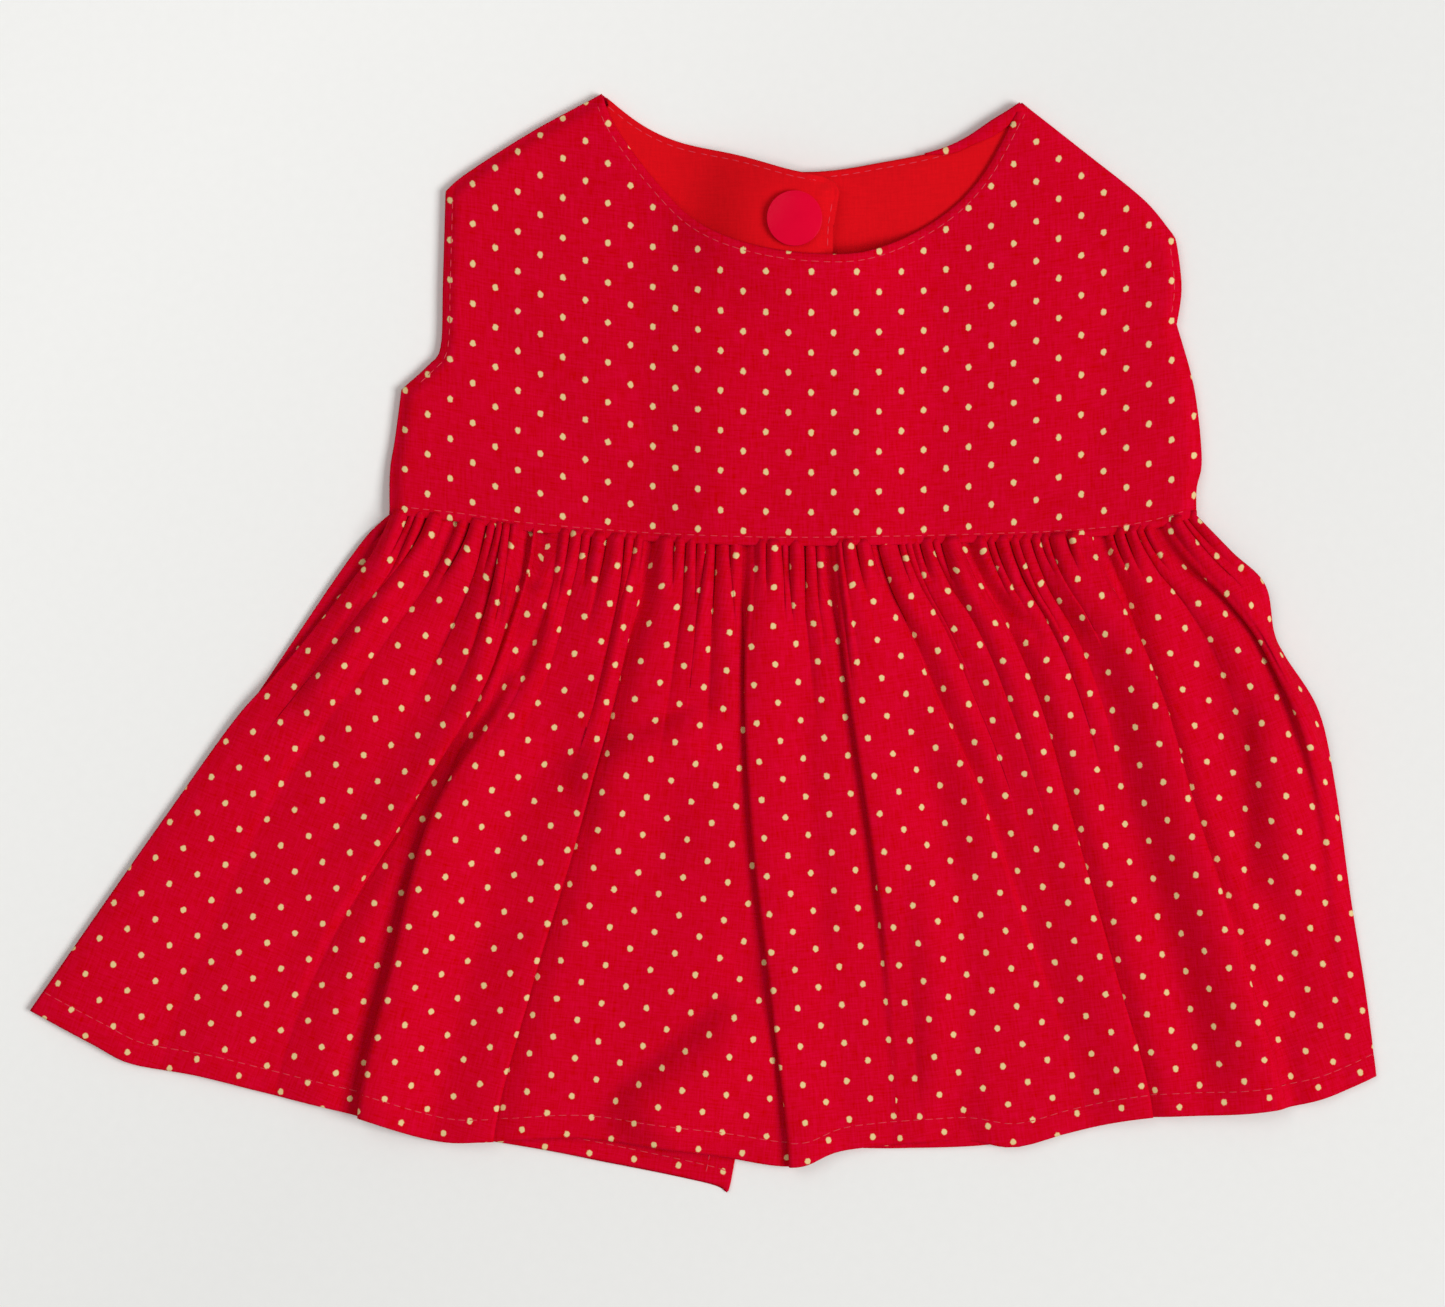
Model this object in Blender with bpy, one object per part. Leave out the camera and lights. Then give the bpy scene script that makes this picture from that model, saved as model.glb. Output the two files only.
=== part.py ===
"""A small sleeveless cotton dress with a gathered skirt, laid flat with its front up.

The tables and sizes are millimetres and become metres when a mesh is made. X runs to the
right across the dress, Y from the hem to the shoulders and Z up from the surface it lies on.
Each cut piece of cloth is one closed wall, and the round snap at the back neck is turned.
"""

import math

import bmesh
import bpy
from mathutils import Vector
from mathutils.geometry import delaunay_2d_cdt

MM = 0.001

# Cloth: every piece is one wall, and layers that lie on each other keep a small gap
WALL = 1.1
SEAM_GAP = 0.3
LAYER = WALL + SEAM_GAP

# Snap: the cap on each side of the neck, and the socket and stud pressed together between
SNAP_X = 20.5
SNAP_Y = 94.6
CAP_RADIUS = 6.2
CAP_HEIGHT = 1.0
PLAY = 0.2
POST_RADIUS = 1.1
BORE_RADIUS = 1.4
POST_HOLE_RADIUS = 1.8
STUD_RADIUS = 4.2
STUD_BASE = 0.7
KNOB_RADIUS = 2.2
KNOB_HEIGHT = 0.8
SOCKET_RADIUS = 4.4
SOCKET_HEIGHT = 1.4
SOCKET_CAVITY_RADIUS = 2.6
SOCKET_CAVITY = 0.8
SNAP_SEGMENTS = 24

# Heights of the stack at the snap, from the surface up
LOWER_CLOTH_LIFT = CAP_HEIGHT + PLAY
STUD_Z = LOWER_CLOTH_LIFT + LAYER + WALL + PLAY
SOCKET_Z = STUD_Z + STUD_BASE + PLAY
UPPER_CLOTH_LIFT = SOCKET_Z + SOCKET_HEIGHT + PLAY
INNER_CAP_Z = UPPER_CLOTH_LIFT + LAYER + WALL + PLAY

# Centre back: the left half lies over the right one between these two edges
LAP_LEFT = 12.2
LAP_RIGHT = 29.1
LAP_RAMP = 20.0
LAP_AHEAD = 8.0
LAP_BEHIND = 4.0
SNAP_FLAT = 7.0
LOWER_BUMP_END = 20.0
UPPER_BUMP_END = 24.0
FRONT_BUMP_FLAT = 9.5
FRONT_BUMP_END = 29.0

# Grid of the flat panels
EDGE_STEP = 6.0
GRID_STEP = 12.0
EDGE_CLEAR = 3.5
SNAP_RINGS = (4.4, SNAP_FLAT, 11.5, 16.0, 20.0)
RING_POINTS = 14

# Outline of the bodice, edge by edge, as (x, y)
LEFT_SHOULDER = ((-22.8, 123.4), (-38.4, 115.0), (-53.6, 105.3), (-58.0, 101.4))
LEFT_ARMHOLE = ((-58.0, 101.4), (-58.6, 80.9), (-59.1, 66.4), (-61.9, 62.2), (-68.0, 56.7))
LEFT_SIDE = ((-68.0, 56.7), (-69.5, 45.5), (-70.6, 38.3), (-70.6, 28.6))
WAIST = (
    (-70.6, 28.6), (-54.9, 26.9), (-39.1, 24.7), (-8.8, 22.3), (23.5, 21.4),
    (67.1, 22.4), (85.2, 23.3), (99.4, 24.9), (111.2, 28.2),
)
RIGHT_SIDE = ((111.2, 28.2), (111.3, 34.5), (112.5, 41.1), (110.8, 57.0), (106.8, 71.5))
RIGHT_ARMHOLE = ((106.8, 71.5), (107.9, 79.6), (106.8, 89.5), (105.8, 91.9))
RIGHT_SHOULDER = ((105.8, 91.9), (99.5, 99.5), (86.3, 110.1), (71.9, 121.4))
FRONT_NECK = (
    (-22.8, 123.4), (-19.7, 115.7), (-10.2, 102.9), (-0.7, 93.7), (11.5, 88.6),
    (26.4, 86.6), (38.6, 87.9), (53.1, 95.2), (63.1, 105.1), (71.9, 121.4),
)
BACK_NECK_LEFT = ((-22.8, 123.4), (-14.3, 116.7), (-5.5, 112.5), (7.4, 109.3), (19.6, 105.6),
                  (27.1, 104.3))
BACK_NECK_RIGHT = ((LAP_LEFT, 106.0), (25.7, 105.7), (38.6, 107.6), (55.1, 111.2), (66.4, 117.7),
                   (71.9, 121.4))
TAB_EDGE = ((29.1, 86.9), (29.4, 93.4), (30.6, 100.8))
TAB_CORNER = ((30.6, 100.8), (29.8, 102.9), (27.1, 104.3))

# Outline of the skirt pieces, each edge from the waist down or from left to right
FRONT_SKIRT_LEFT = (
    (-70.2, 28.5), (-74.0, 20.4), (-80.2, 12.0), (-89.4, 0.6), (-97.4, -8.6),
    (-106.0, -18.2), (-121.2, -39.4), (-134.2, -57.9), (-151.9, -83.4),
)
FRONT_SKIRT_RIGHT = (
    (111.2, 28.2), (119.0, 20.0), (126.5, 12.7), (128.6, 2.0), (131.1, -3.4),
    (138.6, -15.5), (142.6, -32.8), (146.1, -57.3), (149.6, -79.2), (152.0, -98.2),
)
FRONT_HEM = (
    (-151.9, -83.4), (-137.6, -91.0), (-129.0, -95.4), (-114.0, -98.1), (-99.0, -101.9),
    (-78.9, -106.9), (-61.0, -112.6), (-48.3, -112.9), (-28.5, -112.1), (0.0, -115.6),
    (20.1, -118.6), (32.2, -114.8), (58.1, -112.8), (70.2, -114.2), (82.9, -110.9),
    (99.4, -107.6), (123.0, -106.4), (139.2, -103.5), (152.0, -98.2),
)
BACK_SKIRT_LEFT = (
    (-70.6, 28.6), (-75.5, 24.0), (-81.4, 16.3), (-91.4, 1.7), (-105.6, -19.2),
    (-120.2, -39.9), (-133.2, -58.6), (-149.9, -83.6),
)
BACK_HEM_LEFT = (
    (-149.9, -83.6), (-129.0, -93.8), (-99.0, -100.6), (-78.9, -105.4), (-61.0, -110.6),
    (-48.3, -112.4), (-29.2, -115.4), (0.0, -121.2), (5.2, -123.3),
)
SLIT_LEFT = ((LAP_RIGHT, 21.3), (18.8, -44.0), (7.3, -116.7), (5.2, -123.3))
SLIT_RIGHT = ((LAP_LEFT, 21.4), (21.5, -46.0), (31.6, -114.4))
BACK_HEM_RIGHT = (
    (31.6, -114.4), (45.0, -114.5), (66.8, -113.4), (90.0, -108.3), (123.0, -105.4),
    (139.0, -102.2), (150.8, -97.2),
)
BACK_SKIRT_RIGHT = (
    (111.2, 28.2), (118.2, 19.6), (125.4, 12.0), (127.4, 2.0), (129.9, -4.0),
    (137.4, -16.0), (141.4, -33.0), (144.9, -57.5), (148.4, -79.2), (150.8, -97.2),
)

# Gathers: pitch along the waist, height over the flat cloth, and how far down they reach
GATHER_PITCH = 3.0
FRONT_GATHER = 1.3
BACK_GATHER = 0.7
BACK_GATHER_ROOM = 0.95
GATHER_REACH = 0.26
WAIST_RISE = 0.9
WAIST_RISE_WIDTH = 13.0
LAP_CROSSING = 0.42
LAP_FADE = 0.16
FRONT_LAP_CROSSING = 0.50

# Deep folds of the front skirt. The left panel lies over the right one where side is 1, and
# under it where side is -1. x is where the fold crosses the waist, each quarter of the length
# and the hem; turn is how far the cloth turns back there, as a share of a full half turn.
FOLD_HEIGHT = 3.2
FULL_HEIGHT_TURN = 0.5
LEAST_TURN = 0.02
FOLD_STEPS = 40
SHARP_FOLD_POINTS = 10
SOFT_FOLD_POINTS = 5
SOFT_TURN = 0.5
FOLD_DRAPE = 16.0
STATIONS = (0.0, 0.25, 0.5, 0.75, 1.0)
FOLDS = (
    {"side": 1, "x": (-57.0, -75.5, -96.0, -112.0, -124.0), "turn": (0.2, 0.25, 0.18, 0.05, 0.0)},
    {"side": 1, "x": (-40.0, -48.5, -66.0, -86.0, -98.0), "turn": (0.25, 0.85, 0.55, 0.1, 0.0)},
    {"side": -1, "x": (-35.0, -43.0, -60.2, -70.7, -78.0), "turn": (0.15, 0.15, 0.85, 0.8, 0.7)},
    {"side": 1, "x": (-12.5, -19.8, -28.7, -39.3, -48.0), "turn": (0.25, 0.80, 0.85, 0.9, 0.9)},
    {"side": -1, "x": (10.2, 10.0, 11.7, 16.0, 20.1), "turn": (0.25, 0.80, 0.80, 0.8, 0.8)},
    {"side": -1, "x": (28.8, 33.3, 38.3, 41.5, 44.0), "turn": (0.25, 0.75, 0.75, 0.4, 0.1)},
    {"side": 1, "x": (38.5, 51.1, 65.0, 77.0, 86.0), "turn": (0.20, 0.60, 0.50, 0.2, 0.0)},
    {"side": 1, "x": (59.0, 73.4, 82.8, 92.1, 100.8), "turn": (0.25, 0.75, 0.85, 0.9, 0.9)},
    {"side": 1, "x": (89.5, 103.4, 113.4, 123.8, 131.8), "turn": (0.25, 0.55, 0.50, 0.4, 0.2)},
    {"side": -1, "x": (101.5, 125.6, 137.5, 142.5, 146.5), "turn": (0.25, 0.80, 0.25, 0.1, 0.0)},
)
FINE_ROWS = (0.0, 0.06, 0.12, 0.19, 0.26)
COARSE_ROWS = (0.36, 0.47, 0.58, 0.69, 0.80, 0.90, 1.0)
PANEL_STEP = 14.0

# Colours and finish of the cloth and the plastic, linear RGB
DOTTED_RED = (0.58, 0.004, 0.028, 1.0)
LINING_RED = (0.70, 0.012, 0.008, 1.0)
SNAP_RED = (0.66, 0.010, 0.045, 1.0)
CLOTH_ROUGHNESS = 0.85
PLASTIC_ROUGHNESS = 0.18


def clear_scene():
    """Remove whatever objects the file opened with."""
    for item in list(bpy.data.objects):
        bpy.data.objects.remove(item, do_unlink=True)


def material(name, colour, roughness):
    """One plain finish, made once and shared by the pieces of that stuff."""
    made = bpy.data.materials.get(name)
    if made is None:
        made = bpy.data.materials.new(name)
        made.use_nodes = True
        shader = made.node_tree.nodes["Principled BSDF"]
        shader.inputs["Base Color"].default_value = colour
        shader.inputs["Roughness"].default_value = roughness
        shader.inputs["Metallic"].default_value = 0.0
    made.diffuse_color = colour
    return made


def dotted_cotton():
    """Red cotton of the outside of the dress."""
    return material("dotted_cotton", DOTTED_RED, CLOTH_ROUGHNESS)


def plain_lining():
    """Orange red cotton that lines the back of the bodice."""
    return material("plain_lining", LINING_RED, CLOTH_ROUGHNESS)


def snap_plastic():
    """Glossy red plastic of the snap."""
    return material("snap_plastic", SNAP_RED, PLASTIC_ROUGHNESS)


def add_object(name, mesh_data, finish):
    """Put a finished bmesh in the scene as one named object."""
    bmesh.ops.recalc_face_normals(mesh_data, faces=mesh_data.faces)
    mesh = bpy.data.meshes.new(name)
    mesh_data.to_mesh(mesh)
    mesh_data.free()
    mesh.materials.append(finish)
    item = bpy.data.objects.new(name, mesh)
    bpy.context.scene.collection.objects.link(item)
    return item


def ease(t):
    """Smooth step from 0 to 1 as t runs from 0 to 1."""
    t = min(1.0, max(0.0, t))
    return t * t * (3.0 - 2.0 * t)


def between(stations, values, v):
    """Smooth value at v of a quantity known at each station."""
    last = len(stations) - 2
    i = min(last, sum(1 for s in stations[1:-1] if v >= s))
    span = stations[i + 1] - stations[i]
    t = (v - stations[i]) / span
    before = values[max(0, i - 1)]
    after = values[min(len(values) - 1, i + 2)]
    start_slope = 0.5 * (values[i + 1] - before)
    end_slope = 0.5 * (after - values[i])
    t2 = t * t
    t3 = t2 * t
    return ((2 * t3 - 3 * t2 + 1) * values[i] + (t3 - 2 * t2 + t) * start_slope
            + (3 * t2 - 2 * t3) * values[i + 1] + (t3 - t2) * end_slope)


class Curve:
    """A smooth curve through (x, y) points, read by its share of the length."""

    SPAN_STEPS = 10

    def __init__(self, points, smooth=True):
        self.points = [Vector(p) for p in points]
        if smooth:
            self.points = self.rounded(self.points)
        self.lengths = [0.0]
        for a, b in zip(self.points, self.points[1:]):
            self.lengths.append(self.lengths[-1] + (b - a).length)
        self.length = self.lengths[-1]

    def rounded(self, knots):
        """Catmull-Rom points through the knots."""
        out = []
        for i in range(len(knots) - 1):
            a = knots[max(0, i - 1)]
            b = knots[i]
            c = knots[i + 1]
            d = knots[min(len(knots) - 1, i + 2)]
            for step in range(self.SPAN_STEPS):
                t = step / self.SPAN_STEPS
                out.append(0.5 * (2 * b + (c - a) * t + (2 * a - 5 * b + 4 * c - d) * t * t
                                  + (3 * b - a - 3 * c + d) * t * t * t))
        out.append(knots[-1])
        return out

    def along(self, distance):
        """Point at a distance from the start."""
        distance = min(self.length, max(0.0, distance))
        low = 0
        high = len(self.lengths) - 1
        while high - low > 1:
            middle = (low + high) // 2
            if self.lengths[middle] <= distance:
                low = middle
            else:
                high = middle
        run = self.lengths[high] - self.lengths[low]
        share = (distance - self.lengths[low]) / run if run > 0 else 0.0
        return self.points[low].lerp(self.points[high], share)

    def at(self, share):
        """Point at a share of the whole length."""
        return self.along(share * self.length)

    def evenly(self, step):
        """Points about one step apart, both ends included."""
        count = max(1, round(self.length / step))
        return [self.at(i / count) for i in range(count + 1)]

    def distance_at_x(self, x):
        """How far along the curve it reaches x, for a curve that runs left to right."""
        for i in range(len(self.points) - 1):
            a = self.points[i]
            b = self.points[i + 1]
            if a.x <= x < b.x:
                share = (x - a.x) / (b.x - a.x)
                return self.lengths[i] + share * (self.lengths[i + 1] - self.lengths[i])
        return 0.0 if x < self.points[0].x else self.length


def closed_outline(edges):
    """One closed ring of points from edges given end to end."""
    ring = []
    for edge in edges:
        ring.extend(Curve(edge).evenly(EDGE_STEP)[:-1])
    return ring


def inside(point, ring):
    """Whether a point lies within a closed ring."""
    crossings = False
    for a, b in zip(ring, ring[1:] + ring[:1]):
        if (a.y > point.y) != (b.y > point.y):
            if point.x < a.x + (point.y - a.y) / (b.y - a.y) * (b.x - a.x):
                crossings = not crossings
    return crossings


def distance_to_ring(point, ring):
    """Shortest way from a point to a closed ring."""
    best = math.inf
    for a, b in zip(ring, ring[1:] + ring[:1]):
        side = b - a
        share = max(0.0, min(1.0, (point - a).dot(side) / side.length_squared))
        best = min(best, (point - a - side * share).length)
    return best


def snap_distance(x, y):
    """Plan distance from the middle of the snap."""
    return math.hypot(x - SNAP_X, y - SNAP_Y)


def lap_share(x):
    """1 where the left back half lies over the right one, easing to 0 on its left."""
    return ease((x - (LAP_LEFT - 1.0 - LAP_RAMP)) / LAP_RAMP)


def front_lap_share(x):
    """1 over the lap of the back and the start of its slope, easing to 0 on both sides."""
    near = (x - (LAP_LEFT - LAP_AHEAD - LAP_RAMP)) / LAP_RAMP
    far = (LAP_RIGHT + LAP_BEHIND + LAP_RAMP - x) / LAP_RAMP
    return ease(near) * ease(far)


def bump(x, y, flat, end):
    """1 over the flat middle round the snap, easing to 0 at its end."""
    return ease((end - snap_distance(x, y)) / (end - flat))


def right_outer_height(x, y):
    """Underside of the right back half."""
    return LOWER_CLOTH_LIFT * bump(x, y, SNAP_FLAT, LOWER_BUMP_END)


def right_lining_height(x, y):
    """Underside of the right lining, on the right back half."""
    return right_outer_height(x, y) + LAYER


def left_outer_height(x, y):
    """Underside of the left back half, which climbs over the right one and the snap."""
    lap = 2 * LAYER
    return lap * lap_share(x) + (UPPER_CLOTH_LIFT - lap) * bump(x, y, SNAP_FLAT, UPPER_BUMP_END)


def left_lining_height(x, y):
    """Underside of the left lining, on the left back half."""
    return left_outer_height(x, y) + LAYER


def front_bodice_height(x, y):
    """Underside of the front bodice, on the linings, raised a little at the waist seam."""
    lap = 2 * LAYER
    rise = (UPPER_CLOTH_LIFT - lap) * bump(x, y, FRONT_BUMP_FLAT, FRONT_BUMP_END)
    waist_y = WAIST_CURVE.along(WAIST_CURVE.distance_at_x(x)).y
    seam = WAIST_RISE * ease((waist_y + WAIST_RISE_WIDTH - y) / WAIST_RISE_WIDTH)
    return lap + lap * front_lap_share(x) + rise + seam


def slope_factor(height, x, y):
    """How much thicker a sloping wall is when it is measured straight up."""
    step = 0.5
    dx = (height(x + step, y) - height(x - step, y)) / (2 * step)
    dy = (height(x, y + step) - height(x, y - step)) / (2 * step)
    return math.sqrt(1.0 + dx * dx + dy * dy)


def flat_panel(name, edges, height, finish, post_hole=False):
    """A cut piece of cloth laid on what is below it, with a hole for the snap's post."""
    outline = closed_outline(edges)
    rings = [outline]
    centre = Vector((SNAP_X, SNAP_Y))
    loose = []
    circle = [Vector((math.cos(a), math.sin(a)))
              for a in (math.tau * i / RING_POINTS for i in range(RING_POINTS))]
    if post_hole:
        rings.append([centre + c * POST_HOLE_RADIUS for c in circle])
    for radius in SNAP_RINGS:
        loose.extend(centre + c * radius for c in circle)
    low_x = min(p.x for p in outline)
    high_x = max(p.x for p in outline)
    low_y = min(p.y for p in outline)
    high_y = max(p.y for p in outline)
    for i in range(int((high_x - low_x) / GRID_STEP) + 1):
        for j in range(int((high_y - low_y) / GRID_STEP) + 1):
            spot = Vector((low_x + (i + 0.5) * GRID_STEP, low_y + (j + 0.5) * GRID_STEP))
            if snap_distance(spot.x, spot.y) > SNAP_RINGS[-1] + EDGE_CLEAR:
                loose.append(spot)
    loose = [p for p in loose if inside(p, outline) and distance_to_ring(p, outline) > EDGE_CLEAR]
    points = []
    links = []
    for ring in rings:
        start = len(points)
        points.extend(ring)
        links.extend((start + i, start + (i + 1) % len(ring)) for i in range(len(ring)))
    points.extend(loose)
    corners, _, faces, _, _, _ = delaunay_2d_cdt(points, links, [], 0, 1e-6)
    kept = []
    for face in faces:
        middle = sum((corners[i] for i in face), Vector((0.0, 0.0))) / len(face)
        if inside(middle, outline) and not any(inside(middle, r) for r in rings[1:]):
            kept.append(face)
    return cloth_from_faces(name, corners, kept, height, finish)


def cloth_from_faces(name, corners, faces, height, finish):
    """Close a flat triangle mesh into a wall of even thickness over its height."""
    made = bmesh.new()
    under = []
    over = []
    for p in corners:
        z = height(p.x, p.y)
        top = z + WALL * slope_factor(height, p.x, p.y)
        under.append(made.verts.new(Vector((p.x, p.y, z)) * MM))
        over.append(made.verts.new(Vector((p.x, p.y, top)) * MM))
    rim = {}
    for face in faces:
        made.faces.new([over[i] for i in face])
        made.faces.new([under[i] for i in reversed(face)])
        for a, b in zip(face, face[1:] + face[:1]):
            if (b, a) in rim:
                del rim[(b, a)]
            else:
                rim[(a, b)] = True
    for a, b in rim:
        made.faces.new((over[b], over[a], under[a], under[b]))
    loose = [v for v in made.verts if not v.link_faces]
    bmesh.ops.delete(made, geom=loose, context="VERTS")
    bmesh.ops.triangulate(made, faces=made.faces)
    return add_object(name, made, finish)


def waist_edge(start_x, end_x, shift):
    """The waist seam from one x to another, moved up or down by a share of the gap."""
    start = WAIST_CURVE.distance_at_x(start_x)
    end = WAIST_CURVE.distance_at_x(end_x)
    count = round((end - start) / EDGE_STEP)
    spots = [WAIST_CURVE.along(start + (end - start) * i / count) for i in range(count + 1)]
    return tuple((spot.x, spot.y + shift) for spot in spots)


def make_bodice():
    """Front, two back halves and the lining of each half."""
    waist = waist_edge(WAIST[0][0], WAIST[-1][0], SEAM_GAP / 2)
    waist_left = waist_edge(WAIST[0][0], LAP_RIGHT, SEAM_GAP / 2)
    waist_right = waist_edge(LAP_LEFT, WAIST[-1][0], SEAM_GAP / 2)
    left_side = LEFT_SIDE[:-1] + waist[:1]
    right_side = waist[-1:] + RIGHT_SIDE[1:]
    front = [
        waist, right_side, RIGHT_ARMHOLE, RIGHT_SHOULDER,
        FRONT_NECK[::-1], LEFT_SHOULDER, LEFT_ARMHOLE, left_side,
    ]
    back_left = [
        waist_left, waist_left[-1:] + TAB_EDGE, TAB_CORNER, BACK_NECK_LEFT[::-1],
        LEFT_SHOULDER, LEFT_ARMHOLE, left_side,
    ]
    back_right = [
        waist_right, right_side, RIGHT_ARMHOLE, RIGHT_SHOULDER,
        BACK_NECK_RIGHT[::-1], BACK_NECK_RIGHT[:1] + waist_right[:1],
    ]
    flat_panel("bodice_back_right", back_right, right_outer_height, dotted_cotton(), True)
    flat_panel("lining_back_right", back_right, right_lining_height, plain_lining(), True)
    flat_panel("bodice_back_left", back_left, left_outer_height, dotted_cotton(), True)
    flat_panel("lining_back_left", back_left, left_lining_height, plain_lining(), True)
    flat_panel("bodice_front", front, front_bodice_height, dotted_cotton())


class Patch:
    """A skirt piece in plan, between its waist, hem and side edges."""

    LEVEL_POINTS = 90

    def __init__(self, waist, hem, left, right):
        self.waist = Curve(waist)
        self.hem = Curve(hem)
        self.left = Curve(left)
        self.right = Curve(right)

    def spot(self, s, v):
        """Point at share s across and v down, blended from the four edges."""
        across = self.waist.at(s) * (1 - v) + self.hem.at(s) * v
        down = self.left.at(v) * (1 - s) + self.right.at(v) * s
        corners = ((self.waist.at(0) * (1 - s) + self.waist.at(1) * s) * (1 - v)
                   + (self.hem.at(0) * (1 - s) + self.hem.at(1) * s) * v)
        return across + down - corners

    def level(self, v):
        """The curve across the piece at share v of its length."""
        count = self.LEVEL_POINTS
        return Curve([self.spot(i / count, v) for i in range(count + 1)], smooth=False)


def fold_section(turn):
    """Run and rise of a fold whose cloth turns back by a share of a half turn and returns."""
    turn = max(LEAST_TURN, turn)
    run = [0.0]
    rise = [0.0]
    for i in range(FOLD_STEPS):
        angle = math.pi * turn * (1 - math.cos(math.tau * (i + 0.5) / FOLD_STEPS)) / 2
        run.append(run[-1] + math.cos(angle))
        rise.append(rise[-1] + math.sin(angle))
    size = FOLD_HEIGHT * min(1.0, turn / FULL_HEIGHT_TURN) / rise[-1]
    return [size * r for r in run], [size * r for r in rise]


def gather_shape(index):
    """Height and reach of one gather, uneven from one to the next."""
    return 0.78 + 0.22 * math.sin(7.3 * index + 1.1), 0.72 + 0.28 * math.sin(4.1 * index + 0.4)


def uneven(index):
    """Small shift of a gather along the waist, as a share of half its pitch."""
    return 0.3 * math.sin(5.7 * index + 2.0)


class Skirt:
    """A gathered skirt piece: panels between deep folds, and small gathers at the waist."""

    def __init__(self, patch, folds, gather_height, base):
        self.patch = patch
        self.folds = folds
        self.gather_height = gather_height
        self.base = base
        waist_marks = self.marks(0.0)
        hem_marks = self.marks(1.0)
        self.gathers = []
        self.parts = []
        for a, b, c, d in zip(waist_marks, waist_marks[1:], hem_marks, hem_marks[1:]):
            self.gathers.append(max(1, round((b - a) / GATHER_PITCH)))
            self.parts.append(max(1, round((d - c) / PANEL_STEP)))

    def marks(self, v):
        """Distances along a level curve of the left edge, the folds and the right edge."""
        level = self.patch.level(v)
        middles = [level.distance_at_x(between(STATIONS, fold["x"], v)) for fold in self.folds]
        return [0.0] + middles + [level.length]

    def columns(self, fine):
        """Keys of the columns: whole numbers 2p to 2p+1 cross panel p, 2p+1 to 2p+2 its fold."""
        keys = []
        for p in range(len(self.folds) + 1):
            count = 2 * self.gathers[p] if fine else self.parts[p]
            for i in range(count + 1):
                shift = uneven(i + 31 * p) / count if fine and 0 < i < count else 0.0
                keys.append(2 * p + i / count + shift)
            if p < len(self.folds):
                soft = max(self.folds[p]["turn"]) < SOFT_TURN
                points = SOFT_FOLD_POINTS if soft else SHARP_FOLD_POINTS
                keys.extend(2 * p + 1 + i / points for i in range(1, points))
        return keys

    def gather_rise(self, p, share, v):
        """Rise of the gathers of a panel, straight between ridges and valleys."""
        count = 2 * self.gathers[p]
        place = share * count
        i = min(count - 1, int(place))
        ends = []
        for k in (i, i + 1):
            size, reach = gather_shape(k + 17 * p)
            ridge = k % 2 == 1
            ends.append(size * (1 - ease(v / (GATHER_REACH * reach))) if ridge else 0.0)
        return self.gather_height * (ends[0] + (ends[1] - ends[0]) * (place - i))

    def section(self, v, keys):
        """Middle of the wall along one level, a point for each column."""
        level = self.patch.level(v)
        marks = self.marks(v)
        shapes = [fold_section(between(STATIONS, fold["turn"], v)) for fold in self.folds]
        starts = [0.0]
        ends = []
        lifts = [(0.0, 0.0)]
        for fold, middle, (run, rise) in zip(self.folds, marks[1:-1], shapes):
            ends.append(middle - run[-1] / 2)
            starts.append(middle + run[-1] / 2)
            lifts.append((rise[-1], 0.0) if fold["side"] > 0 else (0.0, rise[-1]))
        ends.append(level.length)
        lifts.append((0.0, 0.0))
        out = []
        for key in keys:
            place = int(key)
            p = place // 2
            share = key - place
            if place % 2 == 0 or (place == 2 * p + 1 and share == 0.0):
                share = 1.0 if place % 2 else share
                width = ends[p] - starts[p]
                reach = min(FOLD_DRAPE, 0.95 * width)
                from_left = lifts[p][1] * (1 - ease(share * width / reach))
                from_right = lifts[p + 1][0] * (1 - ease((1 - share) * width / reach))
                if p == 0:
                    from_left = 0.0
                rise = from_left + from_right + self.gather_rise(p, share, v)
                spot = level.along(starts[p] + share * width)
            else:
                run, climb = shapes[p]
                step = round(share * FOLD_STEPS)
                spot = level.along(ends[p] + run[step])
                rise = climb[step]
                if self.folds[p]["side"] > 0:
                    rise = climb[-1] - rise
            z = self.base(spot.x, spot.y, v) + WALL / 2 + rise
            out.append(Vector((spot.x, spot.y, z)))
        return out

    def walls(self, v, keys):
        """Under and upper points of one level, an even wall apart."""
        row = self.section(v, keys)
        step = 0.01
        above = self.section(max(0.0, v - step), keys)
        below = self.section(min(1.0, v + step), keys)
        under = []
        over = []
        for i, point in enumerate(row):
            down = below[i] - above[i]
            before = point - row[i - 1] if i > 0 else row[i + 1] - point
            after = row[i + 1] - point if i < len(row) - 1 else before
            first = down.cross(before).normalized()
            second = down.cross(after).normalized()
            normal = (first + second).normalized()
            half = normal * (WALL / 2 / max(0.6, normal.dot(first)))
            if i in (0, len(row) - 1) or v in (0.0, 1.0):
                half.x = 0.0
                half.y = 0.0
                half.z = max(WALL / 2, half.z)
            under.append(point - half)
            over.append(point + half)
        return under, over


def zip_rows(upper_keys, lower_keys):
    """Triangles between two rows of columns, as (row, index) corners."""
    out = []
    i = 0
    j = 0
    while i < len(upper_keys) - 1 or j < len(lower_keys) - 1:
        step_upper = j == len(lower_keys) - 1
        if not step_upper and i < len(upper_keys) - 1:
            step_upper = upper_keys[i + 1] <= lower_keys[j + 1]
        if step_upper:
            out.append(((0, i), (1, j), (0, i + 1)))
            i += 1
        else:
            out.append(((0, i), (1, j), (1, j + 1)))
            j += 1
    return out


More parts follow.
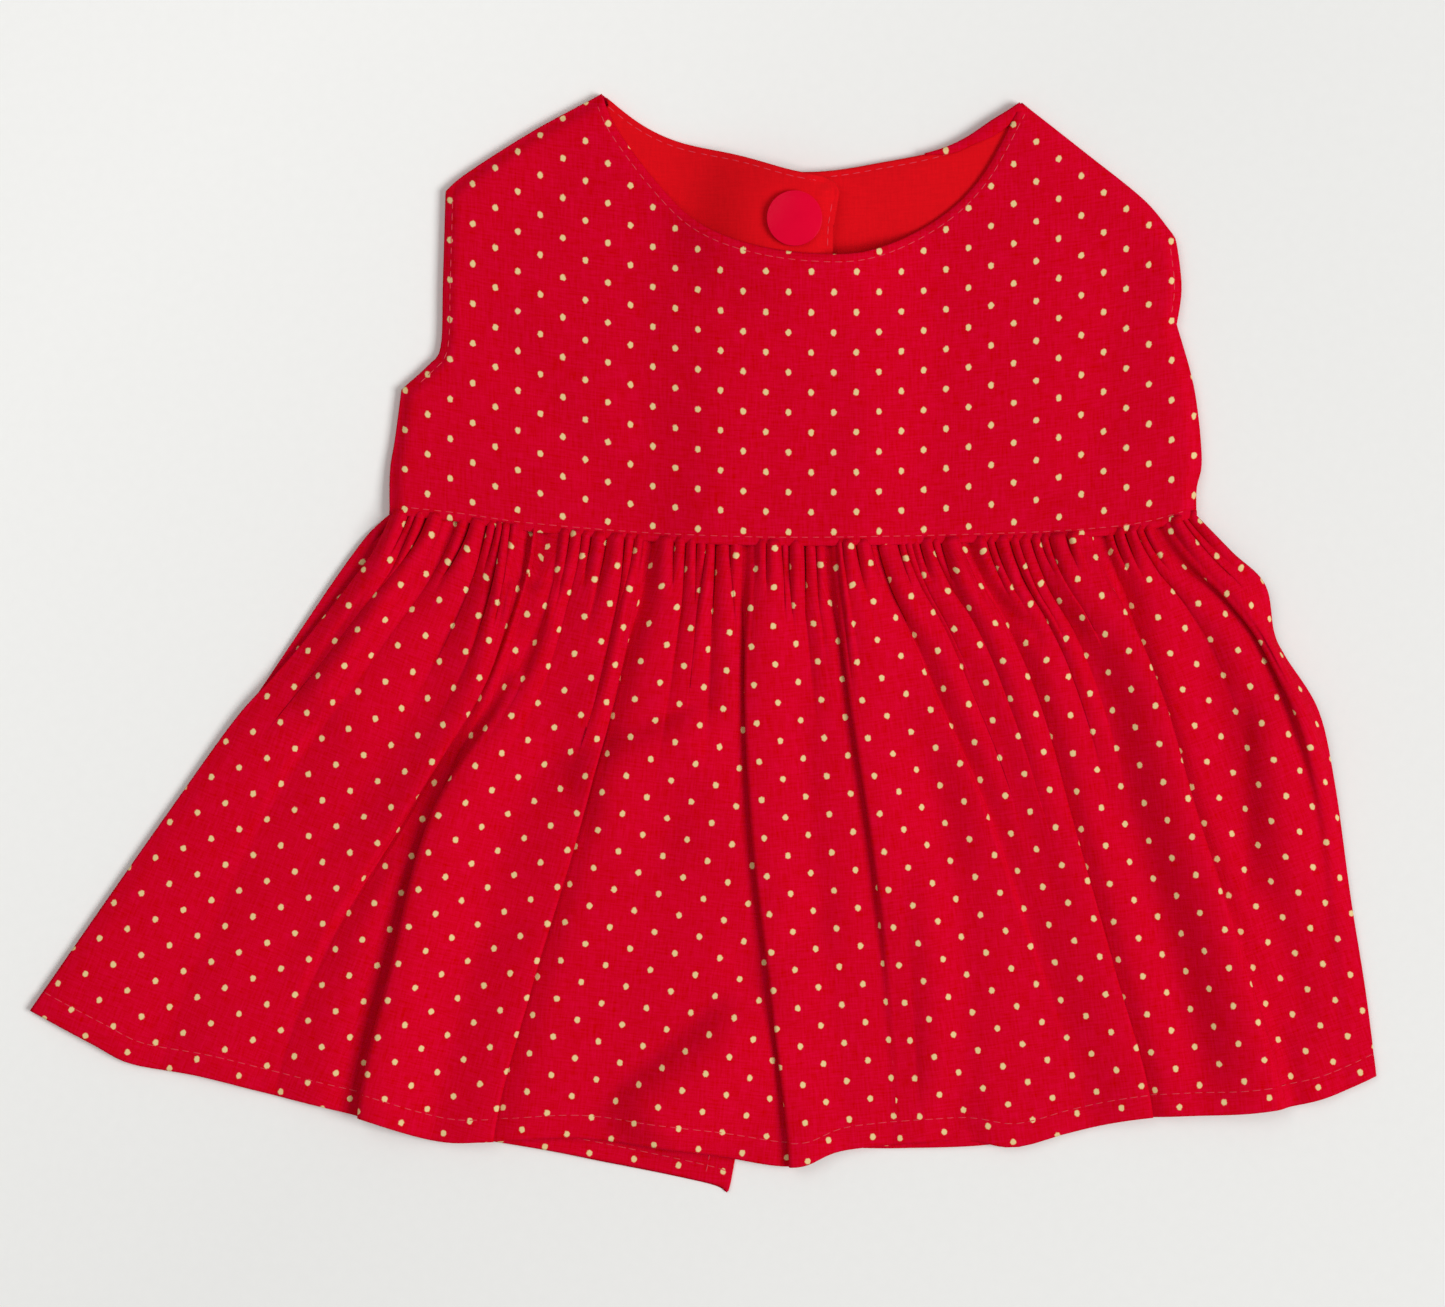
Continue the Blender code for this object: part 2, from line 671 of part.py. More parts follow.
def skirt_panel(name, skirt, finish):
    """Build one skirt piece as a closed wall."""
    fine = skirt.columns(True)
    coarse = skirt.columns(False)
    rows = [(v, fine) for v in FINE_ROWS] + [(v, coarse) for v in COARSE_ROWS]
    made = bmesh.new()
    under = []
    over = []
    for v, keys in rows:
        low, high = skirt.walls(v, keys)
        under.append([made.verts.new(p * MM) for p in low])
        over.append([made.verts.new(p * MM) for p in high])
    for r in range(len(rows) - 1):
        for corners in zip_rows(rows[r][1], rows[r + 1][1]):
            made.faces.new([over[r + row][i] for row, i in corners])
            made.faces.new([under[r + row][i] for row, i in reversed(corners)])
        for side in (0, -1):
            made.faces.new((over[r][side], under[r][side], under[r + 1][side],
                            over[r + 1][side]))
    for r in (0, -1):
        for i in range(len(over[r]) - 1):
            made.faces.new((over[r][i], under[r][i], under[r][i + 1], over[r][i + 1]))
    bmesh.ops.triangulate(made, faces=made.faces)
    return add_object(name, made, finish)


def lap_fade(v, crossing):
    """1 at the waist, easing to 0 below the level where the two back edges cross."""
    return 1 - ease((v - crossing) / LAP_FADE)


def gather_room(v):
    """Room that the gathers of a back piece need over it."""
    return BACK_GATHER_ROOM * (1 - ease(v / GATHER_REACH))


def back_right_base(x, y, v):
    """Underside of the right back skirt, flat on the surface."""
    return 0.0


def back_left_base(x, y, v):
    """Underside of the left back skirt, over the right one where they lap."""
    return (LAYER + gather_room(v)) * lap_share(x) * lap_fade(v, LAP_CROSSING)


def front_base(x, y, v):
    """Underside of the front skirt, on the back pieces."""
    one = LAYER + gather_room(v)
    return one + one * front_lap_share(x) * lap_fade(v, FRONT_LAP_CROSSING)


def make_skirt():
    """Front and the two back pieces, which lap at the waist and part at the hem."""
    left_x = WAIST[0][0]
    right_x = WAIST[-1][0]
    front = Patch(waist_edge(left_x, right_x, -SEAM_GAP / 2), FRONT_HEM,
                  FRONT_SKIRT_LEFT, FRONT_SKIRT_RIGHT)
    left = Patch(waist_edge(left_x, LAP_RIGHT, -SEAM_GAP / 2), BACK_HEM_LEFT,
                 BACK_SKIRT_LEFT, SLIT_LEFT)
    right = Patch(waist_edge(LAP_LEFT, right_x, -SEAM_GAP / 2), BACK_HEM_RIGHT,
                  SLIT_RIGHT, BACK_SKIRT_RIGHT)
    skirt_panel("skirt_back_right", Skirt(right, (), BACK_GATHER, back_right_base),
                dotted_cotton())
    skirt_panel("skirt_back_left", Skirt(left, (), BACK_GATHER, back_left_base),
                dotted_cotton())
    skirt_panel("skirt_front", Skirt(front, FOLDS, FRONT_GATHER, front_base), dotted_cotton())


def turned(name, profile, finish):
    """Turn a closed profile of (radius, height) round the middle of the snap."""
    made = bmesh.new()
    rings = []
    for radius, z in profile:
        if radius == 0.0:
            rings.append([made.verts.new(Vector((SNAP_X, SNAP_Y, z)) * MM)])
            continue
        ring = []
        for i in range(SNAP_SEGMENTS):
            a = math.tau * i / SNAP_SEGMENTS
            spot = Vector((SNAP_X + radius * math.cos(a), SNAP_Y + radius * math.sin(a), z))
            ring.append(made.verts.new(spot * MM))
        rings.append(ring)
    closed = profile[0][0] > 0.0
    pairs = list(zip(rings, rings[1:])) + ([(rings[-1], rings[0])] if closed else [])
    for lower, upper in pairs:
        for i in range(SNAP_SEGMENTS):
            j = (i + 1) % SNAP_SEGMENTS
            corners = [lower[i % len(lower)], lower[j % len(lower)],
                       upper[j % len(upper)], upper[i % len(upper)]]
            made.faces.new(list(dict.fromkeys(corners)))
    item = add_object(name, made, finish)
    item.data.shade_smooth()
    item.data.set_sharp_from_angle(angle=math.radians(40))
    return item


def cap_profile(face_z, post_end, sign):
    """Cap with a rounded rim on its outer side and a post on the side of the cloth."""
    cloth_z = face_z - sign * CAP_HEIGHT
    return (
        (0.0, face_z),
        (CAP_RADIUS - 1.2, face_z),
        (CAP_RADIUS - 0.35, face_z - sign * 0.18),
        (CAP_RADIUS, face_z - sign * 0.55),
        (CAP_RADIUS - 0.1, cloth_z),
        (POST_RADIUS, cloth_z),
        (POST_RADIUS, post_end),
        (0.0, post_end),
    )


def make_snap():
    """Two caps, one on each side, and the stud and socket that hold each other."""
    stud_top = STUD_Z + STUD_BASE + KNOB_HEIGHT
    turned("snap_cap_outer", cap_profile(0.0, stud_top - 0.1, -1), snap_plastic())
    turned("snap_stud", (
        (BORE_RADIUS, STUD_Z),
        (STUD_RADIUS, STUD_Z),
        (STUD_RADIUS, STUD_Z + STUD_BASE),
        (KNOB_RADIUS, STUD_Z + STUD_BASE),
        (KNOB_RADIUS, stud_top),
        (BORE_RADIUS, stud_top),
    ), snap_plastic())
    socket_top = SOCKET_Z + SOCKET_HEIGHT
    turned("snap_socket", (
        (SOCKET_CAVITY_RADIUS, SOCKET_Z),
        (SOCKET_RADIUS, SOCKET_Z),
        (SOCKET_RADIUS, socket_top),
        (BORE_RADIUS, socket_top),
        (BORE_RADIUS, SOCKET_Z + SOCKET_CAVITY),
        (SOCKET_CAVITY_RADIUS, SOCKET_Z + SOCKET_CAVITY),
    ), snap_plastic())
    cap_top = INNER_CAP_Z + CAP_HEIGHT
    turned("snap_cap_inner", cap_profile(cap_top, SOCKET_Z + SOCKET_CAVITY + PLAY, 1),
           snap_plastic())


WAIST_CURVE = Curve(WAIST)

clear_scene()
make_bodice()
make_skirt()
make_snap()
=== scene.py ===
"""A small sarafan dress of red dotted cotton, laid flat with its front up, around its CAD model.

Tables and sizes are millimetres and become metres when a mesh is made. X runs to the right
across the dress, Y from the hem to the shoulders and Z up from the surface it lies on.
"""

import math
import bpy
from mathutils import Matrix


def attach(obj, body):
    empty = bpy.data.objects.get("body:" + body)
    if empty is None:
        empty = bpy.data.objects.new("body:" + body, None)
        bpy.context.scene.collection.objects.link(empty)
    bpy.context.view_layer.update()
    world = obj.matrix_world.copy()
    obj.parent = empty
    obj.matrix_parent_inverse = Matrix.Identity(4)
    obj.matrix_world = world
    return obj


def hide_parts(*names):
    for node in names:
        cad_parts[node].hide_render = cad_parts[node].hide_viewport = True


bl_info = {
    "name": "Sarafan dress",
    "version": (1, 0, 0),
    "blender": (4, 5, 0),
    "location": "View3D > Sidebar > Dress",
    "description": "Builds the cloth, stitches and snap of a small gathered dress laid flat",
    "category": "Add Mesh",
}

import bpy
import numpy as np
from bpy.props import FloatProperty, FloatVectorProperty, PointerProperty
from mathutils import Vector
from mathutils.geometry import delaunay_2d_cdt

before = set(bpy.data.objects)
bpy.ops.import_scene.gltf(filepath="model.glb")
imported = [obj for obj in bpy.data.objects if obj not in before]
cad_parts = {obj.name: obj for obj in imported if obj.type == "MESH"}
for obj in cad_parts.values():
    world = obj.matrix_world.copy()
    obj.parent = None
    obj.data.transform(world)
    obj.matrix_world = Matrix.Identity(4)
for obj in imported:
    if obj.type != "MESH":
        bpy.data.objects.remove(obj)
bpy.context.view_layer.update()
MM = 0.001

# Layers: from one to the next, how high the lowest cloth lies over the surface and the others
# over the underside of the solid's wall, and how high the front skirt lies over its layers
LAYER = 1.4
ON_SURFACE = 0.27
IN_WALL = 0.55
FRONT_SKIRT_LIFT = 0.35

# Rise of the front bodice at the waist seam, and room over a back skirt piece for its gathers,
# which ends at this share of its length
WAIST_RISE = 0.9
WAIST_RISE_WIDTH = 13.0
BACK_GATHER_ROOM = 0.95
GATHER_ROOM_END = 0.26

# Snap
SNAP = np.array((20.5, 94.6))
LOWER_CLOTH_LIFT = 1.2
UPPER_CLOTH_LIFT = 6.4
SNAP_FLAT = 7.0
LOWER_BUMP_END = 20.0
UPPER_BUMP_END = 24.0
FRONT_BUMP_FLAT = 9.5
FRONT_BUMP_END = 29.0
POST_HOLE_RADIUS = 1.8
CAP_RADIUS = 6.2
CAP_BOTTOM = 9.1
CAP_HEIGHT = 1.0

# The face of the cap from its rim to its middle: how far in each step goes and how far it rises
CAP_FACE_STEPS = ((0.35, 0.16), (0.75, 0.0), (0.40, -0.22), (0.60, -0.05), (2.0, 0.05))

# Centre back: the left half lies over the right one between these two edges
LAP_LEFT = 12.2
LAP_RIGHT = 29.1
LAP_RAMP = 20.0
LAP_AHEAD = 8.0
LAP_BEHIND = 4.0
LAP_CROSSING = 0.42
FRONT_LAP_CROSSING = 0.50
LAP_FADE = 0.16

# Outline of the bodice, edge by edge, as (x, y)
LEFT_SHOULDER = ((-22.8, 123.4), (-38.4, 115.0), (-53.6, 105.3), (-58.0, 101.4))
LEFT_ARMHOLE = ((-58.0, 101.4), (-58.6, 80.9), (-59.1, 66.4), (-61.9, 62.2), (-68.0, 56.7))
LEFT_SIDE = ((-68.0, 56.7), (-69.5, 45.5), (-70.6, 38.3), (-70.6, 28.6))
WAIST = (
    (-70.6, 28.6), (-54.9, 26.9), (-39.1, 24.7), (-8.8, 22.3), (23.5, 21.4),
    (67.1, 22.4), (85.2, 23.3), (99.4, 24.9), (111.2, 28.2),
)
RIGHT_SIDE = ((111.2, 28.2), (111.3, 34.5), (112.5, 41.1), (110.8, 57.0), (106.8, 71.5))
RIGHT_ARMHOLE = ((106.8, 71.5), (107.9, 79.6), (106.8, 89.5), (105.8, 91.9))
RIGHT_SHOULDER = ((105.8, 91.9), (99.5, 99.5), (86.3, 110.1), (71.9, 121.4))
FRONT_NECK = (
    (-22.8, 123.4), (-19.7, 115.7), (-10.2, 102.9), (-0.7, 93.7), (11.5, 88.6),
    (26.4, 86.6), (38.6, 87.9), (53.1, 95.2), (63.1, 105.1), (71.9, 121.4),
)
BACK_NECK_LEFT = ((-22.8, 123.4), (-14.3, 116.7), (-5.5, 112.5), (7.4, 109.3), (19.6, 105.6),
                  (27.1, 104.3))
BACK_NECK_RIGHT = ((LAP_LEFT, 106.0), (25.7, 105.7), (38.6, 107.6), (55.1, 111.2), (66.4, 117.7),
                   (71.9, 121.4))
TAB_EDGE = ((29.1, 86.9), (29.4, 93.4), (30.6, 100.8))
TAB_CORNER = ((30.6, 100.8), (29.8, 102.9), (27.1, 104.3))

# Outline of the skirt pieces, each edge from the waist down or from left to right
FRONT_SKIRT_LEFT = (
    (-70.2, 28.5), (-74.0, 20.4), (-80.2, 12.0), (-89.4, 0.6), (-97.4, -8.6),
    (-106.0, -18.2), (-121.2, -39.4), (-134.2, -57.9), (-151.9, -83.4),
)
FRONT_SKIRT_RIGHT = (
    (111.2, 28.2), (119.0, 20.0), (126.5, 12.7), (128.6, 2.0), (131.1, -3.4),
    (138.6, -15.5), (142.6, -32.8), (146.1, -57.3), (149.6, -79.2), (152.0, -98.2),
)
FRONT_HEM = (
    (-151.9, -83.4), (-137.6, -91.0), (-129.0, -95.4), (-114.0, -98.1), (-99.0, -101.9),
    (-78.9, -106.9), (-61.0, -112.6), (-48.3, -112.9), (-28.5, -112.1), (0.0, -115.6),
    (20.1, -118.6), (32.2, -114.8), (58.1, -112.8), (70.2, -114.2), (82.9, -110.9),
    (99.4, -107.6), (123.0, -106.4), (139.2, -103.5), (152.0, -98.2),
)
BACK_SKIRT_LEFT = (
    (-70.6, 28.6), (-75.5, 24.0), (-81.4, 16.3), (-91.4, 1.7), (-105.6, -19.2),
    (-120.2, -39.9), (-133.2, -58.6), (-149.9, -83.6),
)
BACK_HEM_LEFT = (
    (-149.9, -83.6), (-129.0, -93.8), (-99.0, -100.6), (-78.9, -105.4), (-61.0, -110.6),
    (-48.3, -112.4), (-29.2, -115.4), (0.0, -121.2), (5.2, -123.3),
)
SLIT_LEFT = ((LAP_RIGHT, 21.3), (18.8, -44.0), (7.3, -116.7), (5.2, -123.3))
SLIT_RIGHT = ((LAP_LEFT, 21.4), (21.5, -46.0), (31.6, -114.4))
BACK_HEM_RIGHT = (
    (31.6, -114.4), (45.0, -114.5), (66.8, -113.4), (90.0, -108.3), (123.0, -105.4),
    (139.0, -102.2), (150.8, -97.2),
)
BACK_SKIRT_RIGHT = (
    (111.2, 28.2), (118.2, 19.6), (125.4, 12.0), (127.4, 2.0), (129.9, -4.0),
    (137.4, -16.0), (141.4, -33.0), (144.9, -57.5), (148.4, -79.2), (150.8, -97.2),
)
SKIRT_LENGTH = 139.0

# Turned hem: where its stitches run, how much its ridge and its seam rise and sink, and how wide
# these are
HEM_STITCH = 5.2
SLIT_STITCH = 5.6
HEM_FOLD = 0.13
HEM_RIDGE_WIDTH = 2.2
HEM_SEAM_WIDTH = 0.7

# How far the left edge, the right edge and the hem of the front skirt bend down, and over what
# width each of them does
FRONT_EDGE_DROPS = (0.55, 0.80, 0.55)
EDGE_DROP_WIDTHS = (4.0, 7.0, 5.0)

# Shares of the length at which the tables of folds and creases state their x and their turn
STATIONS = (0.0, 0.25, 0.5, 0.75, 1.0)

# Deep folds of the front skirt: x at the waist, each quarter and the hem, and how far the cloth
# turns back as a share of a half turn. The left panel lies over the right one where side is 1.
# A full fold stands its height over the panel under it, and the cloth over it slopes away across
# its drape. The panel under it sinks by dip over the width beside the fold. A sharp fold hides
# cloth, so the print jumps there.
FOLDS = (
    {"side": 1, "x": (-57.0, -75.5, -96.0, -112.0, -124.0), "turn": (0.12, 0.18, 0.12, 0.03, 0.0),
     "height": 3.0, "drape": 14.0, "dip": 0.3, "width": 6.0},
    {"side": 1, "x": (-40.0, -48.5, -66.0, -86.0, -98.0), "turn": (0.25, 0.75, 0.60, 0.15, 0.0),
     "height": 3.2, "drape": 12.0, "dip": 1.0, "width": 3.0},
    {"side": -1, "x": (-35.0, -43.0, -59.8, -69.2, -77.2), "turn": (0.15, 0.15, 0.78, 0.74, 0.66),
     "height": 4.6, "drape": 17.0, "dip": 1.0, "width": 5.5, "sharp": True},
    {"side": 1, "x": (-12.5, -19.8, -28.7, -39.3, -48.0), "turn": (0.25, 0.80, 0.85, 0.90, 0.9),
     "height": 2.0, "drape": 14.0, "dip": 1.6, "width": 2.6, "sharp": True},
    {"side": -1, "x": (10.2, 10.0, 11.7, 16.0, 20.1), "turn": (0.25, 0.80, 0.80, 0.80, 0.8),
     "height": 2.5, "drape": 14.0, "dip": 0.2, "width": 3.2, "sharp": True},
    {"side": -1, "x": (28.8, 33.3, 38.3, 41.5, 44.0), "turn": (0.30, 0.75, 0.75, 0.16, 0.05),
     "height": 2.5, "drape": 14.0, "dip": 0.2, "width": 3.8, "sharp": True},
    {"side": 1, "x": (38.5, 51.1, 65.0, 77.0, 86.0), "turn": (0.20, 0.50, 0.40, 0.10, 0.0),
     "height": 1.5, "drape": 14.0, "dip": 1.3, "width": 4.0},
    {"side": 1, "x": (59.0, 73.4, 82.8, 92.1, 100.8), "turn": (0.25, 0.75, 0.85, 0.90, 0.9),
     "height": 1.8, "drape": 14.0, "dip": 1.4, "width": 2.6, "sharp": True},
    {"side": 1, "x": (87.5, 99.4, 109.4, 121.3, 131.0), "turn": (0.18, 0.85, 0.85, 0.60, 0.3),
     "height": 5.2, "drape": 17.0, "dip": 0.9, "width": 2.6, "sharp": True},
    {"side": -1, "x": (103.5, 126.2, 137.5, 142.5, 146.5), "turn": (0.28, 0.85, 0.30, 0.10, 0.0),
     "height": 3.2, "drape": 10.0, "dip": 1.0, "width": 4.0},
)
FULL_HEIGHT_TURN = 0.5
LEAST_TURN = 0.02
FOLD_STEPS = 40
FOLD_POINTS = 10

# Creases that run down the front skirt: x at the waist, each quarter and the hem, the levels they
# span, how deep they lie below the panel and how wide they are
CREASES = (
    {"x": (-46.0, -53.4, -70.6, -88.0, -100.0), "from": 0.16, "to": 0.66, "depth": 0.8,
     "width": 5.0},
    {"x": (-40.0, -55.0, -68.0, -91.7, -108.0), "from": 0.52, "to": 0.88, "depth": 0.9,
     "width": 5.0},
    {"x": (0.0, -2.0, -8.0, -22.0, -34.0), "from": 0.15, "to": 0.60, "depth": 0.5, "width": 5.0},
    {"x": (20.0, 22.0, 24.0, 28.0, 32.0), "from": 0.18, "to": 0.75, "depth": 0.5, "width": 4.0},
    {"x": (34.0, 45.0, 55.0, 58.5, 57.5), "from": 0.32, "to": 1.12, "depth": 1.8, "width": 5.0},
    {"x": (52.0, 62.0, 74.0, 84.0, 92.0), "from": 0.15, "to": 0.70, "depth": 0.8, "width": 4.0},
    {"x": (6.0, 6.0, 7.0, 10.0, 14.0), "from": 0.60, "to": 0.90, "depth": 0.9, "width": 4.0},
    {"x": (76.0, 89.0, 97.0, 107.0, 114.0), "from": 0.14, "to": 1.0, "depth": 1.8, "width": 6.0},
    {"x": (97.0, 112.5, 121.0, 130.5, 137.0), "from": 0.14, "to": 0.95, "depth": 2.2,
     "width": 5.5},
)

# Creases that run across the cloth, each from one spot to another
SKIRT_HOLLOWS = (
    {"from": (27.6, -58.5), "to": (18.5, -69.8), "depth": 0.6, "width": 4.0},
    {"from": (-36.8, -60.8), "to": (-61.7, -76.6), "depth": 0.7, "width": 5.0},
    {"from": (-21.0, -2.0), "to": (-45.9, -22.4), "depth": 0.8, "width": 5.0},
    {"from": (-33.2, 13.0), "to": (-41.0, -6.0), "depth": 1.5, "width": 1.9},
    {"from": (66.0, 10.0), "to": (75.0, 1.0), "depth": 1.0, "width": 1.8},
    {"from": (72.0, 14.0), "to": (84.0, 3.0), "depth": 0.9, "width": 1.8},
)

# Soft swells of the front skirt: the cloth rises sharply on the left of the way from one end to
# the other, as high as is stated here, and sinks slowly beyond the stated width
SKIRT_SWELLS = (
    {"from": (10.5, -75.5), "to": (-26.0, -107.0), "height": 4.2, "width": 9.0},
    {"from": (3.0, -12.5), "to": (-35.0, -27.5), "height": 3.2, "width": 7.5},
    {"from": (-31.0, 13.4), "to": (-47.0, 13.6), "height": 2.4, "width": 4.0},
    {"from": (-73.0, 15.0), "to": (-95.0, -16.0), "height": 2.3, "width": 6.5},
    {"from": (122.5, -6.0), "to": (123.0, -66.0), "height": 2.4, "width": 8.0},
    {"from": (45.5, -42.0), "to": (49.0, -112.0), "height": 1.7, "width": 6.5},
)

# Soft creases of the front bodice, each from one spot to another
BODICE_HOLLOWS = (
    {"from": (-48.0, 72.5), "to": (-23.3, 36.4), "depth": 0.55, "width": 6.0},
    {"from": (94.2, 81.6), "to": (87.5, 40.9), "depth": 0.6, "width": 6.5},
    {"from": (17.0, 70.0), "to": (14.0, 34.0), "depth": 0.22, "width": 5.0},
    {"from": (30.0, 74.0), "to": (29.0, 40.0), "depth": 0.20, "width": 5.0},
    {"from": (58.0, 84.0), "to": (52.0, 44.0), "depth": 0.20, "width": 7.0},
)

# The print of each sheet between sharp folds: one of its dots, as (x, y), and how far its lines
# lean from the length of the dress, in degrees
FRONT_PRINT = (
    {"dot": (-120.3, -68.6), "lean": 21.5},
    {"dot": (-44.8, -61.0), "lean": 15.3},
    {"dot": (-5.4, -61.8), "lean": 6.2},
    {"dot": (24.8, -60.8), "lean": -3.8},
    {"dot": (50.4, -46.0), "lean": -8.0},
    {"dot": (96.1, -49.8), "lean": -6.5},
    {"dot": (128.0, -54.1), "lean": -19.0},
)
BACK_PRINT_LEFT = ({"dot": (-20.0, -112.0), "lean": 8.0},)
BACK_PRINT_RIGHT = ({"dot": (80.0, -60.0), "lean": -8.0},)

# The print of the bodice: one of its dots, the x where its rows turn from falling to rising, how
# fast they bend, and how much the cloth is drawn out down the dress
BODICE_DOT = (19.2, 60.3)
BODICE_ROW_LOW = 25.0
BODICE_ROW_BEND = 0.00115
BODICE_STRETCH = 1.04

# A dot is a little taller than wide
DOT_SLIM = 1.12

# Stage, in metres and watts: the surface just under the dress, the light of the room, and a large
# soft window to the right with a weaker light from above
FLOOR_LEVEL = -0.0001
ROOM_COLOUR = (1.0, 0.99, 0.975, 1.0)
ROOM_LIGHT = 0.29
LIGHTS = (
    {"name": "window", "place": (2.20, -0.50, 2.40), "size": 1.6, "power": 80.0},
    {"name": "ceiling", "place": (-0.60, 0.50, 1.30), "size": 1.0, "power": 4.6},
)

# Camera: its sensor and the width that it sees on the surface, both in millimetres, and the spot
# over which it stands, in metres
SENSOR_WIDTH = 36.0
VIEW_WIDTH = 326.6
VIEW_CENTRE = (0.0044, -0.0028)


def hex_colour(text):
    """Linear colour of an sRGB hex string."""
    parts = [int(text[i:i + 2], 16) / 255 for i in (1, 3, 5)]
    return tuple(c / 12.92 if c <= 0.04045 else ((c + 0.055) / 1.055) ** 2.4 for c in parts)


def length(name, description, value):
    """A length a user may change."""
    return FloatProperty(name=name, description=description, default=value, min=0.0,
                         precision=5, unit="LENGTH", subtype="DISTANCE")


def colour(name, description, text):
    """A colour a user may change."""
    return FloatVectorProperty(name=name, description=description, default=hex_colour(text),
                               min=0.0, max=1.0, size=3, subtype="COLOR")


class DressSettings(bpy.types.PropertyGroup):
    """Sizes and colours of the dress."""

    thickness: length("Cloth thickness", "Thickness of every layer of cloth", 0.00050)
    gather: length("Gather height", "Height of the largest gathers under the waist", 0.00290)
    dot: length("Dot diameter", "Diameter of a printed dot", 0.00138)
    dot_across: length("Dot pitch across", "Width of a cell of the print", 0.01015)
    dot_down: length("Dot pitch down", "Height of a cell of the print", 0.00862)
    stitch: length("Stitch length", "Length of a stitch that shows", 0.00185)
    stitch_gap: length("Stitch gap", "Cloth between two stitches", 0.00075)
    thread: length("Thread radius", "Radius of the sewing thread", 0.00011)
    camera_height: length("Camera height", "Height of the camera over the dress", 0.95)
    dress_red: colour("Dress", "Colour of the dotted cotton", "#C60000")
    slub_pink: colour("Slubs", "Colour of the lighter threads of the dotted cotton", "#D80434")
    lining_red: colour("Lining", "Colour of the lining", "#DA0C18")
    dot_gold: colour("Dots", "Colour of the printed dots", "#E4C88E")
    thread_pink: colour("Thread", "Colour of the sewing thread", "#E23A4E")
    snap_red: colour("Snap", "Colour of the plastic snap", "#E00230")
    floor_white: colour("Floor", "Colour of the surface under the dress", "#EFEFED")


# Numbers


def ease(t):
    """Smooth step from 0 to 1 as t runs from 0 to 1."""
    t = np.clip(t, 0.0, 1.0)
    return t * t * (3.0 - 2.0 * t)


def bell(t):
    """1 at 0, falling smoothly to nothing on both sides."""
    return np.exp(-np.square(t))


def chance(*seed):
    """A fixed number from 0 to 1 that looks random from one seed to the next."""
    mixed = math.sin(sum(s * w for s, w in zip(seed, (12.9898, 78.233, 37.719)))) * 43758.5453
    return mixed - math.floor(mixed)


def spread(measure, *seed):
    """A measure between its least and its most."""
    least, more, power = measure
    return least + more * chance(*seed) ** power


def between(stations, values, v):
    """Smooth value at v of a quantity known at each station."""
    last = len(stations) - 2
    i = min(last, sum(1 for s in stations[1:-1] if v >= s))
    t = (v - stations[i]) / (stations[i + 1] - stations[i])
    before = values[max(0, i - 1)]
    after = values[min(len(values) - 1, i + 2)]
    start_slope = 0.5 * (values[i + 1] - before)
    end_slope = 0.5 * (after - values[i])
    t2 = t * t
    t3 = t2 * t
    return ((2 * t3 - 3 * t2 + 1) * values[i] + (t3 - 2 * t2 + t) * start_slope
            + (3 * t2 - 2 * t3) * values[i + 1] + (t3 - t2) * end_slope)


class Curve:
    """A smooth line through points, read by the distance along it."""

    SPAN_STEPS = 10

    def __init__(self, knots, smooth=True):
        points = np.array(knots, dtype=float)
        self.points = self.rounded(points) if smooth else points
        steps = np.linalg.norm(np.diff(self.points, axis=0), axis=1)
        self.lengths = np.concatenate(([0.0], np.cumsum(steps)))
        self.length = self.lengths[-1]

    def rounded(self, knots):
        """Catmull-Rom points through the knots."""
        padded = np.vstack((knots[:1], knots, knots[-1:]))
        t = (np.arange(self.SPAN_STEPS) / self.SPAN_STEPS)[:, None]
        spans = []
        for a, b, c, d in zip(padded, padded[1:], padded[2:], padded[3:]):
            spans.append(0.5 * (2 * b + (c - a) * t + (2 * a - 5 * b + 4 * c - d) * t * t
                                + (3 * b - a - 3 * c + d) * t * t * t))
        return np.vstack(spans + [knots[-1:]])

    def along(self, distance):
        """Points at distances from the start."""
        x = np.interp(distance, self.lengths, self.points[:, 0])
        y = np.interp(distance, self.lengths, self.points[:, 1])
        return np.stack((x, y), axis=-1)

    def at(self, share):
        """Points at shares of the whole length."""
        return self.along(np.asarray(share) * self.length)

    def evenly(self, step):
        """Points about one step apart, both ends included."""
        count = max(1, round(self.length / step))
        return self.at(np.arange(count + 1) / count)

    def distance_at_x(self, x):
        """How far along it reaches x, for a line that runs left to right."""
        return np.interp(x, self.points[:, 0], self.lengths)

    def tangent(self, distance):
        """Unit direction at a distance from the start."""
        step = 0.4
        way = self.along(distance + step) - self.along(distance - step)
        return way / np.linalg.norm(way, axis=-1, keepdims=True)


WAIST_CURVE = Curve(WAIST)


def waist_edge(start_x, end_x):
    """The waist seam from one x to another, as knots of a line."""
    start = WAIST_CURVE.distance_at_x(start_x)
    end = WAIST_CURVE.distance_at_x(end_x)
    return WAIST_CURVE.along(np.linspace(start, end, 40))


def distance_to_line(points, line):
    """Shortest way from each point to a line of points."""
    best = np.full(len(points), np.inf)
    for a, b in zip(line, line[1:]):
        side = b - a
        share = np.clip((points - a) @ side / max(side @ side, 1e-12), 0.0, 1.0)
        best = np.minimum(best, np.linalg.norm(points - a - share[:, None] * side, axis=1))
    return best


def inside(points, ring):
    """Which points lie within a closed ring."""
    found = np.zeros(len(points), dtype=bool)
    x, y = points[:, 0], points[:, 1]
    for a, b in zip(ring, np.roll(ring, -1, axis=0)):
        if a[1] != b[1]:
            crosses = (a[1] > y) != (b[1] > y)
            found ^= crosses & (x < a[0] + (y - a[1]) / (b[1] - a[1]) * (b[0] - a[0]))
    return found


